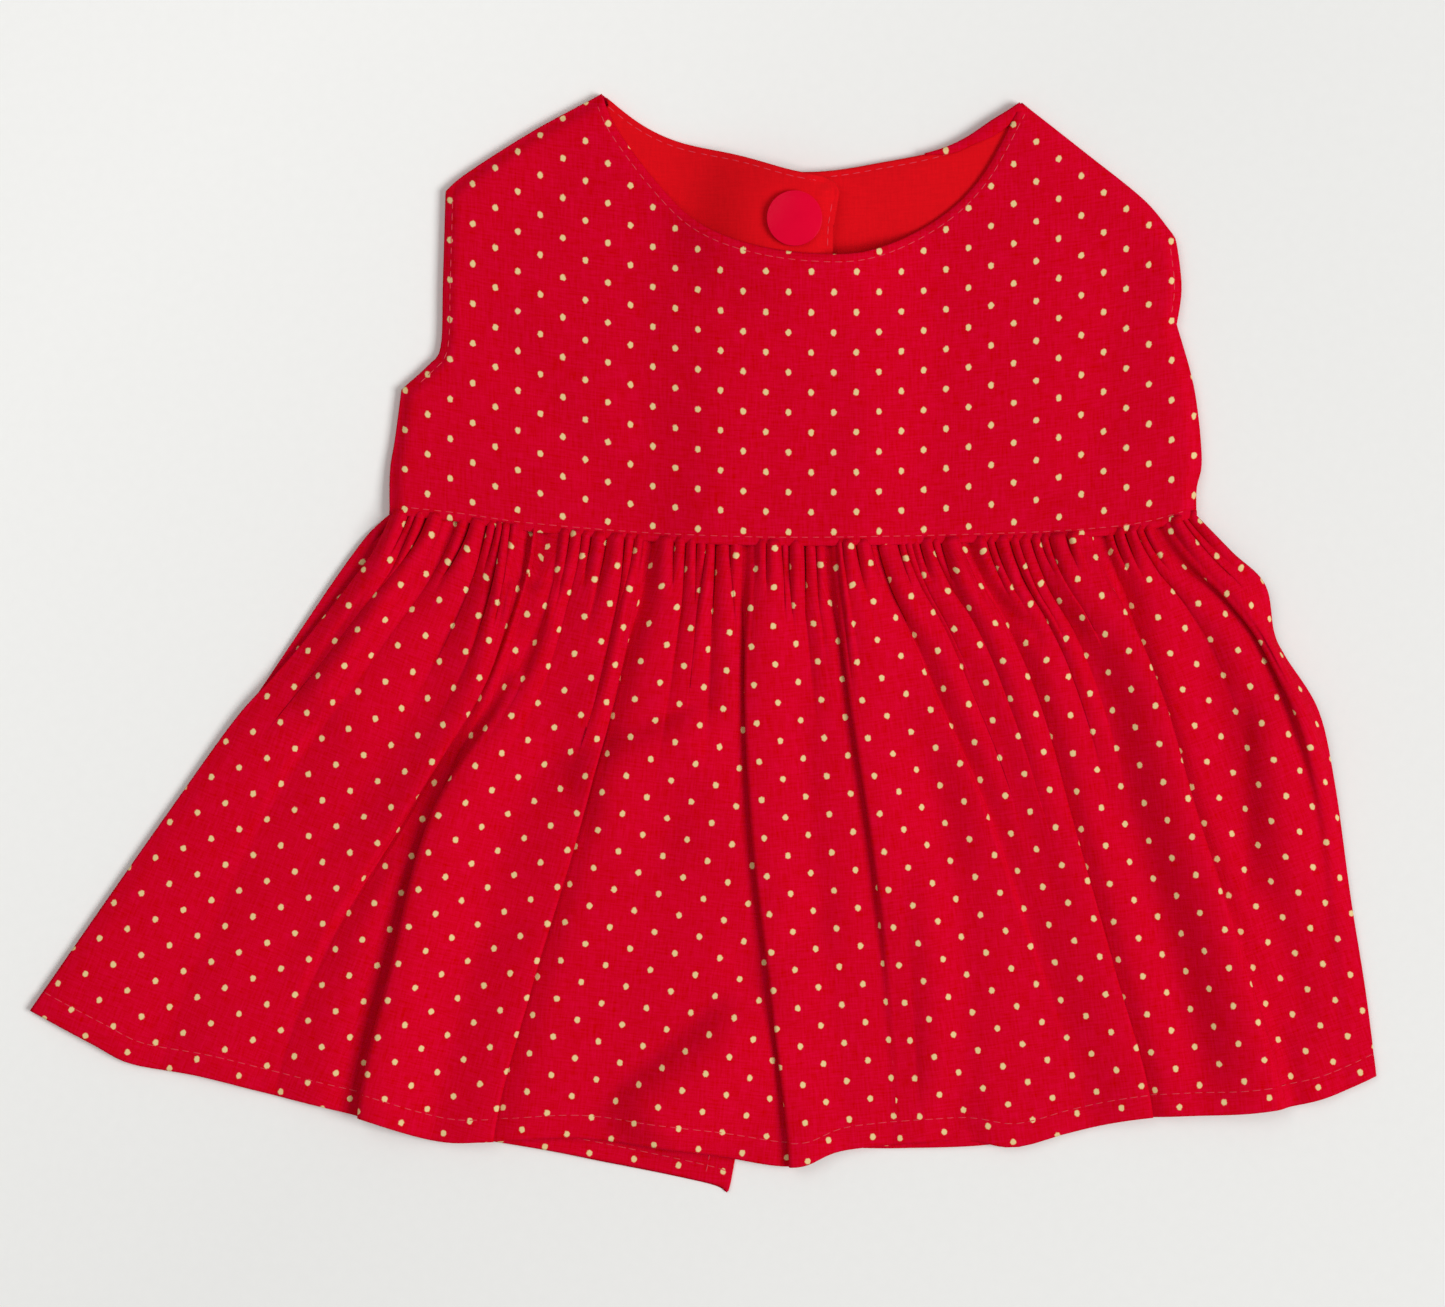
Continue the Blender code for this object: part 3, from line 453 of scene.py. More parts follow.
def hollow_depth(spots, creases):
    """How deep a table of creases lies at each spot."""
    depth = np.zeros(len(spots))
    for crease in creases:
        start = np.array(crease["from"])
        side = np.array(crease["to"]) - start
        share = np.clip((spots - start) @ side / (side @ side), 0.0, 1.0)
        way = np.linalg.norm(spots - start - share[:, None] * side, axis=1)
        depth += crease["depth"] * bell(way / crease["width"])
    return depth


def swell_height(spots, swells):
    """How far the cloth rises at each spot beside the lines of its swells."""
    out = np.zeros(len(spots))
    for swell in swells:
        start = np.array(swell["from"])
        way = np.array(swell["to"]) - start
        length = np.linalg.norm(way)
        along = (spots - start) @ way / length ** 2
        off = (spots - start) @ (-way[1], way[0]) / (length * swell["width"])
        ends = ease(along / 0.25) * ease((1 - along) / 0.25)
        up = 1 - np.square(1 - np.clip(off, 0.0, 1.0))
        out += swell["height"] * ends * up * (1 - ease((off - 1) / 2.2))
    return out


def inset(knots, way):
    """An edge of an anticlockwise ring, moved inward."""
    line = np.array(knots)
    along = np.gradient(line, axis=0)
    inward = np.column_stack((-along[:, 1], along[:, 0]))
    return line + way * inward / np.linalg.norm(inward, axis=1, keepdims=True)


# Heights of the layers, the same as those of the solids


def lap_share(x):
    """1 where the left back half lies over the right one, easing to 0 on its left."""
    return ease((x - (LAP_LEFT - 1.0 - LAP_RAMP)) / LAP_RAMP)


def front_lap_share(x):
    """1 over the lap of the back, easing to 0 on both sides."""
    near = (x - (LAP_LEFT - LAP_AHEAD - LAP_RAMP)) / LAP_RAMP
    far = (LAP_RIGHT + LAP_BEHIND + LAP_RAMP - x) / LAP_RAMP
    return ease(near) * ease(far)


def bump(x, y, flat, end):
    """1 round the snap, easing to 0 at its end."""
    return ease((end - np.hypot(x - SNAP[0], y - SNAP[1])) / (end - flat))


def right_outer_height(x, y):
    """Right back half."""
    return LOWER_CLOTH_LIFT * bump(x, y, SNAP_FLAT, LOWER_BUMP_END)


def right_lining_height(x, y):
    """Lining of the right back half."""
    return right_outer_height(x, y) + LAYER


def left_outer_height(x, y):
    """Left back half, over the right one and the snap."""
    lap = 2 * LAYER
    return lap * lap_share(x) + (UPPER_CLOTH_LIFT - lap) * bump(x, y, SNAP_FLAT, UPPER_BUMP_END)


def left_lining_height(x, y):
    """Lining of the left back half."""
    return left_outer_height(x, y) + LAYER


def front_bodice_height(x, y):
    """Front bodice, raised a little at the waist seam."""
    lap = 2 * LAYER
    rise = (UPPER_CLOTH_LIFT - lap) * bump(x, y, FRONT_BUMP_FLAT, FRONT_BUMP_END)
    waist_y = WAIST_CURVE.along(WAIST_CURVE.distance_at_x(x))[..., 1]
    seam = WAIST_RISE * ease((waist_y + WAIST_RISE_WIDTH - y) / WAIST_RISE_WIDTH)
    return lap + lap * front_lap_share(x) + rise + seam


def gather_room(v):
    """Room over a back piece for its gathers."""
    return BACK_GATHER_ROOM * (1 - ease(v / GATHER_ROOM_END))


def lap_fade(v, crossing):
    """1 at the waist, easing to 0 below the level where the two back edges cross."""
    return 1 - ease((v - crossing) / LAP_FADE)


def back_right_base(x, v):
    """Right back skirt, flat on the surface."""
    return ON_SURFACE + 0.0 * x


def back_left_base(x, v):
    """Left back skirt, over the right one where they lap."""
    return ON_SURFACE + (LAYER + gather_room(v)) * lap_share(x) * lap_fade(v, LAP_CROSSING)


def front_base(x, v):
    """Front skirt, on the back pieces."""
    one = LAYER + gather_room(v)
    over_lap = one * front_lap_share(x) * lap_fade(v, FRONT_LAP_CROSSING)
    return FRONT_SKIRT_LIFT + one + over_lap


# Meshes


def add_object(name, points, faces, prints, finish):
    """One smooth mesh object. prints has the print's millimetres for each corner of each face."""
    mesh = bpy.data.meshes.new(name)
    mesh.from_pydata((np.asarray(points) * MM).tolist(), [], faces)
    if prints is not None:
        layer = mesh.uv_layers.new(name="Print")
        layer.data.foreach_set("uv", np.asarray(prints, dtype=np.float32).ravel())
    mesh.polygons.foreach_set("use_smooth", [True] * len(mesh.polygons))
    mesh.update()
    mesh.materials.append(finish)
    item = bpy.data.objects.new(name, mesh)
    bpy.context.scene.collection.objects.link(item)
    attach(item, "root")
    return item


def grid_shell(name, middle, prints, right_prints, thickness, finish):
    """A closed sheet of cloth round a grid of points, whose rows run down and columns right.

    The left corners of a face take prints and its right ones right_prints, so that the print
    can jump between two columns.
    """
    rows, columns = middle.shape[:2]
    down = np.gradient(middle, axis=0)
    right = np.gradient(middle, axis=1)
    normal = np.cross(down, right)
    normal /= np.maximum(np.linalg.norm(normal, axis=2, keepdims=True), 1e-9)
    half = normal * thickness / 2
    points = np.concatenate(((middle + half).reshape(-1, 3), (middle - half).reshape(-1, 3)))
    index = np.arange(rows * columns).reshape(rows, columns)
    upper = np.stack((index[:-1, :-1], index[1:, :-1], index[1:, 1:], index[:-1, 1:]),
                     axis=-1).reshape(-1, 4)
    shift = rows * columns
    lower = upper[:, ::-1] + shift
    border = np.concatenate((index[:, 0], index[-1, 1:], index[-2::-1, -1], index[0, -2:0:-1]))
    after = np.roll(border, -1)
    rim = np.stack((border, border + shift, after + shift, after), axis=-1)
    faces = np.concatenate((upper, lower, rim)).tolist()
    on_upper = np.stack((prints[:-1, :-1], prints[1:, :-1], right_prints[1:, 1:],
                         right_prints[:-1, 1:]), axis=2).reshape(-1, 4, 2)
    on_rim = prints.reshape(-1, 2)[np.stack((border, border, after, after), axis=-1)]
    corners = np.concatenate((on_upper, on_upper[:, ::-1], on_rim))
    return add_object(name, points, faces, corners, finish)


def flat_shell(name, corners, faces, heights, prints, thickness, finish):
    """A closed sheet of cloth over a flat triangle mesh."""
    middle = np.column_stack((corners, heights))
    triangles = np.array(faces)
    edge_one = middle[triangles[:, 1]] - middle[triangles[:, 0]]
    edge_two = middle[triangles[:, 2]] - middle[triangles[:, 0]]
    face_normal = np.cross(edge_one, edge_two)
    flip = face_normal[:, 2] < 0
    triangles[flip] = triangles[flip][:, ::-1]
    face_normal[flip] *= -1
    normal = np.zeros_like(middle)
    for k in range(3):
        np.add.at(normal, triangles[:, k], face_normal)
    normal /= np.maximum(np.linalg.norm(normal, axis=1, keepdims=True), 1e-12)
    half = normal * thickness / 2
    count = len(middle)
    points = np.concatenate((middle + half, middle - half))
    rim = {}
    for a, b, c in triangles.tolist():
        for edge in ((a, b), (b, c), (c, a)):
            if edge[::-1] in rim:
                del rim[edge[::-1]]
            else:
                rim[edge] = True
    sides = [(a, a + count, b + count, b) for a, b in rim]
    everything = triangles.tolist() + (triangles[:, ::-1] + count).tolist() + sides
    corners = np.array([corner % count for face in everything for corner in face])
    return add_object(name, points, everything, prints[corners], finish)


# Flat cut pieces of the bodice

EDGE_STEP = 1.3
EDGE_RINGS = (0.35, 0.75, 1.15, 1.6, 2.1, 2.8, 3.8)
GRID_STEP = 2.6
HOLE_POINTS = 18
CALM_EDGE = 8.0
WAVE = 0.16
ROLL_START = 50.0
ROLL_WIDTH = 2.7
ROLL_LIFT = 0.45
ROLL_ARCH = 0.30
ROLL_ROWS = (-0.18, 0.0, 0.3, 0.65, 0.9, 1.0)


class Edge:
    """One edge of a cut piece: how far it bends down or up, and how far in it is stitched."""

    def __init__(self, knots, drop=0.0, within=3.0, stitch=0.0):
        self.curve = Curve(knots)
        self.drop = drop
        self.within = within
        self.stitch = stitch

    def relief(self, way):
        """Height of the turned edge, with the stitches drawn into it."""
        if not self.stitch:
            return 0.0 * way
        turned = 0.22 * bell((way - 0.5 * self.stitch) / (0.5 * self.stitch))
        return turned - 0.20 * bell((way - self.stitch) / 0.42)


class CutPiece:
    """A flat piece of cloth laid on what is below it."""

    def __init__(self, edges, height, lift, seed, post_hole=False, hollows=()):
        self.edges = edges
        self.height = height
        self.lift = lift
        self.seed = seed
        self.post_hole = post_hole
        self.hollows = hollows

    def outline(self):
        """Closed ring of points round the piece."""
        return np.vstack([edge.curve.evenly(EDGE_STEP)[:-1] for edge in self.edges])

    def middle(self, spots):
        """Height of the middle of the cloth over each spot."""
        x, y = spots[:, 0], spots[:, 1]
        bend = np.zeros(len(spots))
        relief = np.zeros(len(spots))
        nearest = np.full(len(spots), np.inf)
        for edge in self.edges:
            way = distance_to_line(spots, edge.curve.points[::3])
            pull = edge.drop * (1 - ease(way / edge.within))
            bend = np.where(np.abs(pull) > np.abs(bend), pull, bend)
            relief += edge.relief(way)
            nearest = np.minimum(nearest, way)
        calm = ease(nearest / CALM_EDGE)
        wave = (np.sin(x / 9.1 + y / 23.0 + self.seed) * np.sin(y / 11.7 - x / 31.0)
                + 0.6 * np.sin(x / 5.3 - y / 14.0 + 2 * self.seed) * np.sin(y / 17.0 + 1.3))
        near_snap = ease((np.hypot(x - SNAP[0], y - SNAP[1]) - SNAP_FLAT - 2.0) / 12.0)
        loose = near_snap * calm * (WAVE * wave - hollow_depth(spots, self.hollows))
        return np.maximum(self.height(x, y) + self.lift - bend + relief + loose, ON_SURFACE)

    def build(self, name, print_of, thickness, finish):
        """Fill the outline with small triangles, finer along the edges."""
        ring = self.outline()
        area = np.sum(ring[:, 0] * np.roll(ring[:, 1], -1) - ring[:, 1] * np.roll(ring[:, 0], -1))
        along = np.roll(ring, -1, axis=0) - np.roll(ring, 1, axis=0)
        inward = np.column_stack((-along[:, 1], along[:, 0])) * (1.0 if area > 0 else -1.0)
        inward /= np.linalg.norm(inward, axis=1, keepdims=True)
        closed = np.vstack((ring, ring[:1]))
        loose = []
        for depth in EDGE_RINGS:
            spots = ring + inward * depth
            spots = spots[inside(spots, ring)]
            loose.append(spots[distance_to_line(spots, closed) > 0.93 * depth])
        low = ring.min(axis=0)
        size = ring.max(axis=0) - low
        cells = (size / GRID_STEP).astype(int) + 1
        i, j = np.meshgrid(np.arange(cells[0]), np.arange(cells[1]), indexing="ij")
        field = np.column_stack(((low[0] + (i + 0.5 * (j % 2) + 0.25) * GRID_STEP).ravel(),
                                 (low[1] + (j + 0.5) * GRID_STEP).ravel()))
        field = field[inside(field, ring)]
        loose.append(field[distance_to_line(field, closed) > EDGE_RINGS[-1] + 0.9])
        loose = np.vstack(loose)
        turn = math.tau * np.arange(HOLE_POINTS) / HOLE_POINTS
        circle = np.column_stack((np.cos(turn), np.sin(turn)))
        rings = [ring]
        if self.post_hole:
            hole = SNAP + POST_HOLE_RADIUS * circle
            rings.append(hole)
            loose = loose[np.linalg.norm(loose - SNAP, axis=1) > POST_HOLE_RADIUS + 0.9]
            loose = np.vstack((loose, SNAP + (POST_HOLE_RADIUS + 0.7) * circle))
        points = np.vstack(rings + [loose])
        links = []
        start = 0
        for each in rings:
            count = len(each)
            links.extend((start + k, start + (k + 1) % count) for k in range(count))
            start += count
        vectors = [Vector(p) for p in points.tolist()]
        corners, _, faces, _, _, _ = delaunay_2d_cdt(vectors, links, [], 0, 1e-6)
        corners = np.array([tuple(c) for c in corners])
        faces = np.array([f for f in faces if len(f) == 3])
        centres = corners[faces].mean(axis=1)
        keep = inside(centres, ring)
        if self.post_hole:
            keep &= np.linalg.norm(centres - SNAP, axis=1) > POST_HOLE_RADIUS * 0.98
        faces = faces[keep]
        used = np.unique(faces)
        renumber = np.full(len(corners), -1)
        renumber[used] = np.arange(len(used))
        corners = corners[used]
        return flat_shell(name, corners, renumber[faces], self.middle(corners),
                          print_of(corners), thickness, finish)


# How far the edges of a back half and of its lining bend down where they are sewn in, along the
# neck and at the tab, and how far they stop short of the sewn edges
OUTER_BACK = {"sewn": -0.75, "neck": -0.35, "tab": 1.3, "short": 0.0}
BACK_LINING = {"sewn": 0.0, "neck": 0.45, "tab": 1.9, "short": 3.0}
SEW_FRONT = 1.7

# How far inside its edge each line of stitches runs: at the waist and the armholes of the front,
# at its neck, and on the back
SEAM_STITCH = 1.8
NECK_STITCH = 1.7
BACK_STITCH = 1.3


def back_edges_left(cloth):
    """Edges of the left back half, or of its lining."""
    bend, short = cloth["sewn"], cloth["short"]
    waist = waist_edge(WAIST[0][0] + short, LAP_RIGHT)
    return [
        Edge(waist),
        Edge(((LAP_RIGHT, waist[-1][1]),) + TAB_EDGE, cloth["tab"], 4.0, BACK_STITCH),
        Edge(TAB_CORNER, cloth["tab"], 4.0, BACK_STITCH),
        Edge(BACK_NECK_LEFT[::-1], cloth["neck"], 2.0, BACK_STITCH),
        Edge(inset(LEFT_SHOULDER, short), bend),
        Edge(inset(LEFT_ARMHOLE, short), bend),
        Edge(inset(LEFT_SIDE, short), bend),
    ]


def back_edges_right(cloth):
    """Edges of the right back half, or of its lining."""
    bend, short = cloth["sewn"], cloth["short"]
    waist = waist_edge(LAP_LEFT, WAIST[-1][0] - short)
    return [
        Edge(waist),
        Edge(inset(RIGHT_SIDE, short), bend),
        Edge(inset(RIGHT_ARMHOLE, short), bend),
        Edge(inset(RIGHT_SHOULDER, short), bend),
        Edge(BACK_NECK_RIGHT[::-1], cloth["neck"], 2.0, BACK_STITCH),
        Edge((BACK_NECK_RIGHT[0], (LAP_LEFT, waist[0][1]))),
    ]


def front_edges():
    """Edges of the front bodice."""
    return [
        Edge(waist_edge(WAIST[0][0], WAIST[-1][0]), 0.35, 1.2, SEAM_STITCH),
        Edge(RIGHT_SIDE, SEW_FRONT, 3.5),
        Edge(RIGHT_ARMHOLE, SEW_FRONT, 3.0, SEAM_STITCH),
        Edge(RIGHT_SHOULDER, SEW_FRONT, 3.5),
        Edge(FRONT_NECK[::-1], 0.7, 2.0, NECK_STITCH),
        Edge(LEFT_SHOULDER, SEW_FRONT, 3.5),
        Edge(LEFT_ARMHOLE, SEW_FRONT, 3.0, SEAM_STITCH),
        Edge(LEFT_SIDE, SEW_FRONT, 3.5),
    ]


FRONT_BODICE = CutPiece(front_edges(), front_bodice_height, IN_WALL, 0.0,
                        hollows=BODICE_HOLLOWS)
BACK_LEFT = CutPiece(back_edges_left(OUTER_BACK), left_outer_height, ON_SURFACE, 1.0, True)
BACK_RIGHT = CutPiece(back_edges_right(OUTER_BACK), right_outer_height, ON_SURFACE, 2.0, True)
LINING_LEFT = CutPiece(back_edges_left(BACK_LINING), left_lining_height, IN_WALL, 3.0, True)
LINING_RIGHT = CutPiece(back_edges_right(BACK_LINING), right_lining_height, IN_WALL, 4.0, True)


def bodice_print(spots):
    """The print of the bodice, whose rows bend with the waist."""
    rows = spots[:, 1] - BODICE_ROW_BEND * (spots[:, 0] - BODICE_ROW_LOW) ** 2
    dot_row = BODICE_DOT[1] - BODICE_ROW_BEND * (BODICE_DOT[0] - BODICE_ROW_LOW) ** 2
    return np.column_stack((spots[:, 0] - BODICE_DOT[0], (dot_row - rows) / BODICE_STRETCH))


# Gathered skirt pieces

GATHER_PITCH = 3.1
GATHER_COLUMNS = (0.0, 0.09, 0.24, 0.42, 0.60, 0.77, 0.91)
TUCK = 1.3
PANEL_ARCH = 0.9
DIP_REACH = 22.0
LEAST_HEIGHT = 0.85

# How far the gathered cloth puffs out just below the waist, in millimetres
WAIST_PUFF = 1.5

# The gathers take up cloth, and the print moves with it: the share of the length over which this
# is evened out, how much of it shows at the waist, and the level from which all of it does
PRINT_CALM = 0.045
PRINT_TAKE_UP = 0.4
FULL_TAKE_UP = 0.2

# How the gathers differ: the least of each measure, what chance adds to it, and the power that
# keeps the larger ones rare. Widths and sizes are shares of the usual one and reaches are shares
# of the length.
GATHER_WIDTH = (0.45, 1.1, 2)
GATHER_SIZE = (0.62, 0.38, 1)
GATHER_LEAN = (0.34, 0.32, 1)
FURROW_DEPTH = (0.5, 1.5, 2)
FURROW_REACH = (0.06, 0.26, 2)
GROUP_SIZE = (0.35, 0.65, 1)
GROUP_REACH = (0.22, 0.30, 1)

# Levels at which the rows of the skirt stop being fine for the gathers and start being fine for
# the hem, and how many rows each part has
GATHERED_PART = 0.30
HEM_PART = 0.95
PART_ROWS = (40, 44, 12)


class Patch:
    """A skirt piece in plan, between its waist, hem and side edges."""

    def __init__(self, waist, hem, left, right):
        self.waist = Curve(waist)
        self.hem = Curve(hem)
        self.left = Curve(left)
        self.right = Curve(right)

    def level(self, v):
        """The line across the piece at share v of its length."""
        s = np.linspace(0.0, 1.0, 181)[:, None]
        across = self.waist.at(s[:, 0]) * (1 - v) + self.hem.at(s[:, 0]) * v
        down = self.left.at(v) * (1 - s) + self.right.at(v) * s
        corners = ((self.waist.at(0.0) * (1 - s) + self.waist.at(1.0) * s) * (1 - v)
                   + (self.hem.at(0.0) * (1 - s) + self.hem.at(1.0) * s) * v)
        return Curve(across + down - corners, smooth=False)


def fold_section(turn, height):
    """Run and rise of a fold whose cloth turns back by a share of a half turn and returns."""
    turn = max(LEAST_TURN, turn)
    middle = (np.arange(FOLD_STEPS) + 0.5) / FOLD_STEPS
    angle = math.pi * turn * (1 - np.cos(math.tau * middle)) / 2
    run = np.concatenate(([0.0], np.cumsum(np.cos(angle))))
    rise = np.concatenate(([0.0], np.cumsum(np.sin(angle))))
    size = height * min(1.0, turn / FULL_HEIGHT_TURN) / rise[-1]
    picked = np.round(np.linspace(0, FOLD_STEPS, FOLD_POINTS + 1)).astype(int)
    return size * run[picked], size * rise[picked]


class Gathers:
    """The gathers of one panel: where their valleys lie, how high they are and how far down."""

    def __init__(self, width, seed):
        self.count = max(1, round(width / GATHER_PITCH))
        widths = np.array([spread(GATHER_WIDTH, i, seed, 1) for i in range(self.count)])
        self.valleys = np.concatenate(([0.0], np.cumsum(widths) / widths.sum()))
        widths /= widths.mean()
        self.size = [min(1.0, 0.85 * math.sqrt(w)) * spread(GATHER_SIZE, i, seed, 2)
                     for i, w in enumerate(widths)]
        self.reach = [0.035 + 0.045 * w + 0.26 * chance(i, seed, 3) ** 5
                      for i, w in enumerate(widths)]
        gaps = np.diff(self.valleys)
        self.drift = np.array([0.0] + [1.1 * (chance(i, seed, 10) - 0.5) * min(gaps[i - 1], gaps[i])
                                       for i in range(1, self.count)] + [0.0])
        self.lean = [math.log(0.5) / math.log(spread(GATHER_LEAN, i, seed, 7))
                     for i in range(self.count)]
        self.furrow = [spread(FURROW_DEPTH, i, seed, 8) for i in range(self.count)]
        self.furrow_reach = [spread(FURROW_REACH, i, seed, 9) for i in range(self.count)]
        self.group = []
        start = 0
        while start < self.count:
            end = min(self.count, start + 2 + int(2.4 * chance(start, seed, 4)))
            if self.count - end == 1:
                end = self.count
            self.group.append((start, end, spread(GROUP_SIZE, start, seed, 5),
                               spread(GROUP_REACH, start, seed, 6)))
            start = end
        self.shares = self.shares_at(0.0)

    def valleys_at(self, v):
        """Where the valleys lie at share v of the length: they drift together and apart."""
        return self.valleys + self.drift * ease(v / 0.14)

    def shares_at(self, v):
        """Shares of the panel's width at which its columns lie."""
        valleys = self.valleys_at(v)
        shares = [valleys[i] + t * (valleys[i + 1] - valleys[i])
                  for i in range(self.count) for t in GATHER_COLUMNS]
        return np.array(shares + [1.0])

    def rise(self, v, height, shares):
        """Height of the cloth over its flat level for each column of the panel."""
        out = np.zeros(len(shares))
        valleys = self.valleys_at(v)
        grown = 0.85 + 0.15 * ease(v / 0.03)
        steps = len(GATHER_COLUMNS)
        for i in range(self.count):
            part = slice(i * steps, (i + 1) * steps + 1)
            t = (shares[part] - valleys[i]) / (valleys[i + 1] - valleys[i])
            t = np.power(np.clip(t, 0.0, 1.0), self.lean[i])
            arch = np.power(4 * t * (1 - t), 0.8)
            fade = 1 - ease(v / self.reach[i])
            out[part] = np.maximum(out[part], height * self.size[i] * grown * fade * arch)
        for first, last, size, reach in self.group:
            part = slice(first * steps, last * steps + 1)
            start, end = valleys[first], valleys[last]
            t = np.clip((shares[part] - start) / (end - start), 0.0, 1.0)
            arch = np.power(4 * t * (1 - t), 0.9)
            swell = ease(v / 0.09) * (1 - ease((v - 0.10) / (reach - 0.02)))
            out[part] += 0.62 * height * size * swell * arch
        for i in range(1, self.count):
            fade = 1 - ease(v / self.furrow_reach[i])
            near = slice(i * steps - 1, i * steps + 2)
            out[near] -= self.furrow[i] * fade * np.array((0.5, 1.0, 0.6))
        return out


class Skirt:
    """A gathered skirt piece: panels between deep folds, creases, and gathers at the waist."""

    def __init__(self, patch, base, seed, gather_share, folds=(), creases=(), hollows=(),
                 edge_drops=(0.0, 0.0, 0.0), swells=()):
        self.patch = patch
        self.base = base
        self.gather_share = gather_share
        self.folds = folds
        self.creases = creases
        self.hollows = hollows
        self.edge_drops = edge_drops
        self.swells = swells
        marks = self.marks(0.0)
        self.gathers = [Gathers(b - a, seed + 11 * p)
                        for p, (a, b) in enumerate(zip(marks, marks[1:]))]
        sheet_of = []
        in_panel = []
        sheet = 0
        for p, gathers in enumerate(self.gathers):
            sheet_of += [sheet] * len(gathers.shares)
            in_panel += [True] * len(gathers.shares)
            if p < len(folds):
                half = (FOLD_POINTS - 1) // 2
                sheet_of += [sheet] * half
                sheet += 1 if folds[p].get("sharp") else 0
                sheet_of += [sheet] * (FOLD_POINTS - 1 - half)
                in_panel += [False] * (FOLD_POINTS - 1)
        self.sheet_of = np.array(sheet_of)
        self.in_panel = np.array(in_panel)

    def marks(self, v):
        """Distances along a level of the left edge, the folds and the right edge."""
        level = self.patch.level(v)
        middles = [level.distance_at_x(between(STATIONS, fold["x"], v)) for fold in self.folds]
        return [0.0] + middles + [level.length]

    def panel_rise(self, p, share, width, shapes, v):
        """Height over its flat level of the panel between two folds."""
        rise = PANEL_ARCH * min(1.0, width / 30.0) * np.sin(math.pi * share) * ease((v - 0.1) / 0.3)
        sides = []
        if p:
            sides.append((self.folds[p - 1], shapes[p - 1], share, -1))
        if p < len(self.folds):
            sides.append((self.folds[p], shapes[p], 1 - share, 1))
        for fold, (turn, _, climb), away, over in sides:
            if fold["side"] == over:
                reach = min(fold["drape"], 0.95 * width)
                rise = rise + climb[-1] * (1 - ease(away * width / reach))
            else:
                reach = min(DIP_REACH, 0.9 * width)
                strength = fold["dip"] * min(1.0, turn / FULL_HEIGHT_TURN)
                rise = rise + (strength * (1 - bell(away * width / fold["width"]))
                               * (1 - ease((away * width - fold["width"]) / reach)))
        return rise

    def row(self, v, gather):
        """Middle of the cloth along one level, a point for each column."""
        level = self.patch.level(v)
        marks = self.marks(v)
        shapes = []
        for fold in self.folds:
            turn = max(0.0, between(STATIONS, fold["turn"], v))
            shapes.append((turn, *fold_section(turn, fold["height"])))
        starts = [0.0] + [m + run[-1] / 2 for m, (_, run, _) in zip(marks[1:-1], shapes)]
        ends = [m - run[-1] / 2 for m, (_, run, _) in zip(marks[1:-1], shapes)] + [level.length]
        way = []
        rise = []
        for p, gathers in enumerate(self.gathers):
            width = ends[p] - starts[p]
            shares = gathers.shares_at(max(0.0, v))
            way.append(starts[p] + shares * width)
            puff = WAIST_PUFF * ease(v / 0.07) * (1 - ease((v - 0.10) / 0.5))
            rise.append(self.panel_rise(p, shares, width, shapes, v) + puff * self.gather_share
                        + gathers.rise(max(0.0, v), gather * self.gather_share, shares))
            if p < len(self.folds):
                _, run, climb = shapes[p]
                if self.folds[p]["side"] > 0:
                    climb = climb[-1] - climb
                way.append(ends[p] + run[1:-1])
                rise.append(climb[1:-1] + puff * self.gather_share)
        way = np.concatenate(way)
        rise = np.concatenate(rise)
        spots = level.along(way)
        for crease in self.creases:
            window = ease((v - crease["from"]) / 0.12) * ease((crease["to"] - v) / 0.12)
            if window > 0:
                centre = between(STATIONS, crease["x"], v)
                rise -= crease["depth"] * window * bell((spots[:, 0] - centre) / crease["width"])
        rise -= hollow_depth(spots, self.hollows)
        rise += swell_height(spots, self.swells)
        from_hem = (1 - v) * SKIRT_LENGTH
        inside_edges = (way, level.length - way, np.full(len(way), from_hem))
        rise -= np.maximum.reduce([
            drop * (1 - ease(inward / width))
            for drop, width, inward in zip(self.edge_drops, EDGE_DROP_WIDTHS, inside_edges)
        ])
        rise += HEM_FOLD * bell((from_hem - HEM_STITCH / 2) / HEM_RIDGE_WIDTH)
        rise -= HEM_FOLD * bell((from_hem - HEM_STITCH) / HEM_SEAM_WIDTH)
        base = self.base(spots[:, 0], v)
        lowest = np.maximum(base - LEAST_HEIGHT, ON_SURFACE)
        return np.column_stack((spots, np.maximum(base + rise, lowest)))

    def levels(self):
        """Shares of the length that get a row, closer at the gathers and along the hem."""
        fine, middle, hem = PART_ROWS
        return np.concatenate((np.linspace(0.0, GATHERED_PART, fine)[:-1],
                               np.linspace(GATHERED_PART, HEM_PART, middle)[:-1],
                               np.linspace(HEM_PART, 1.0, hem)))

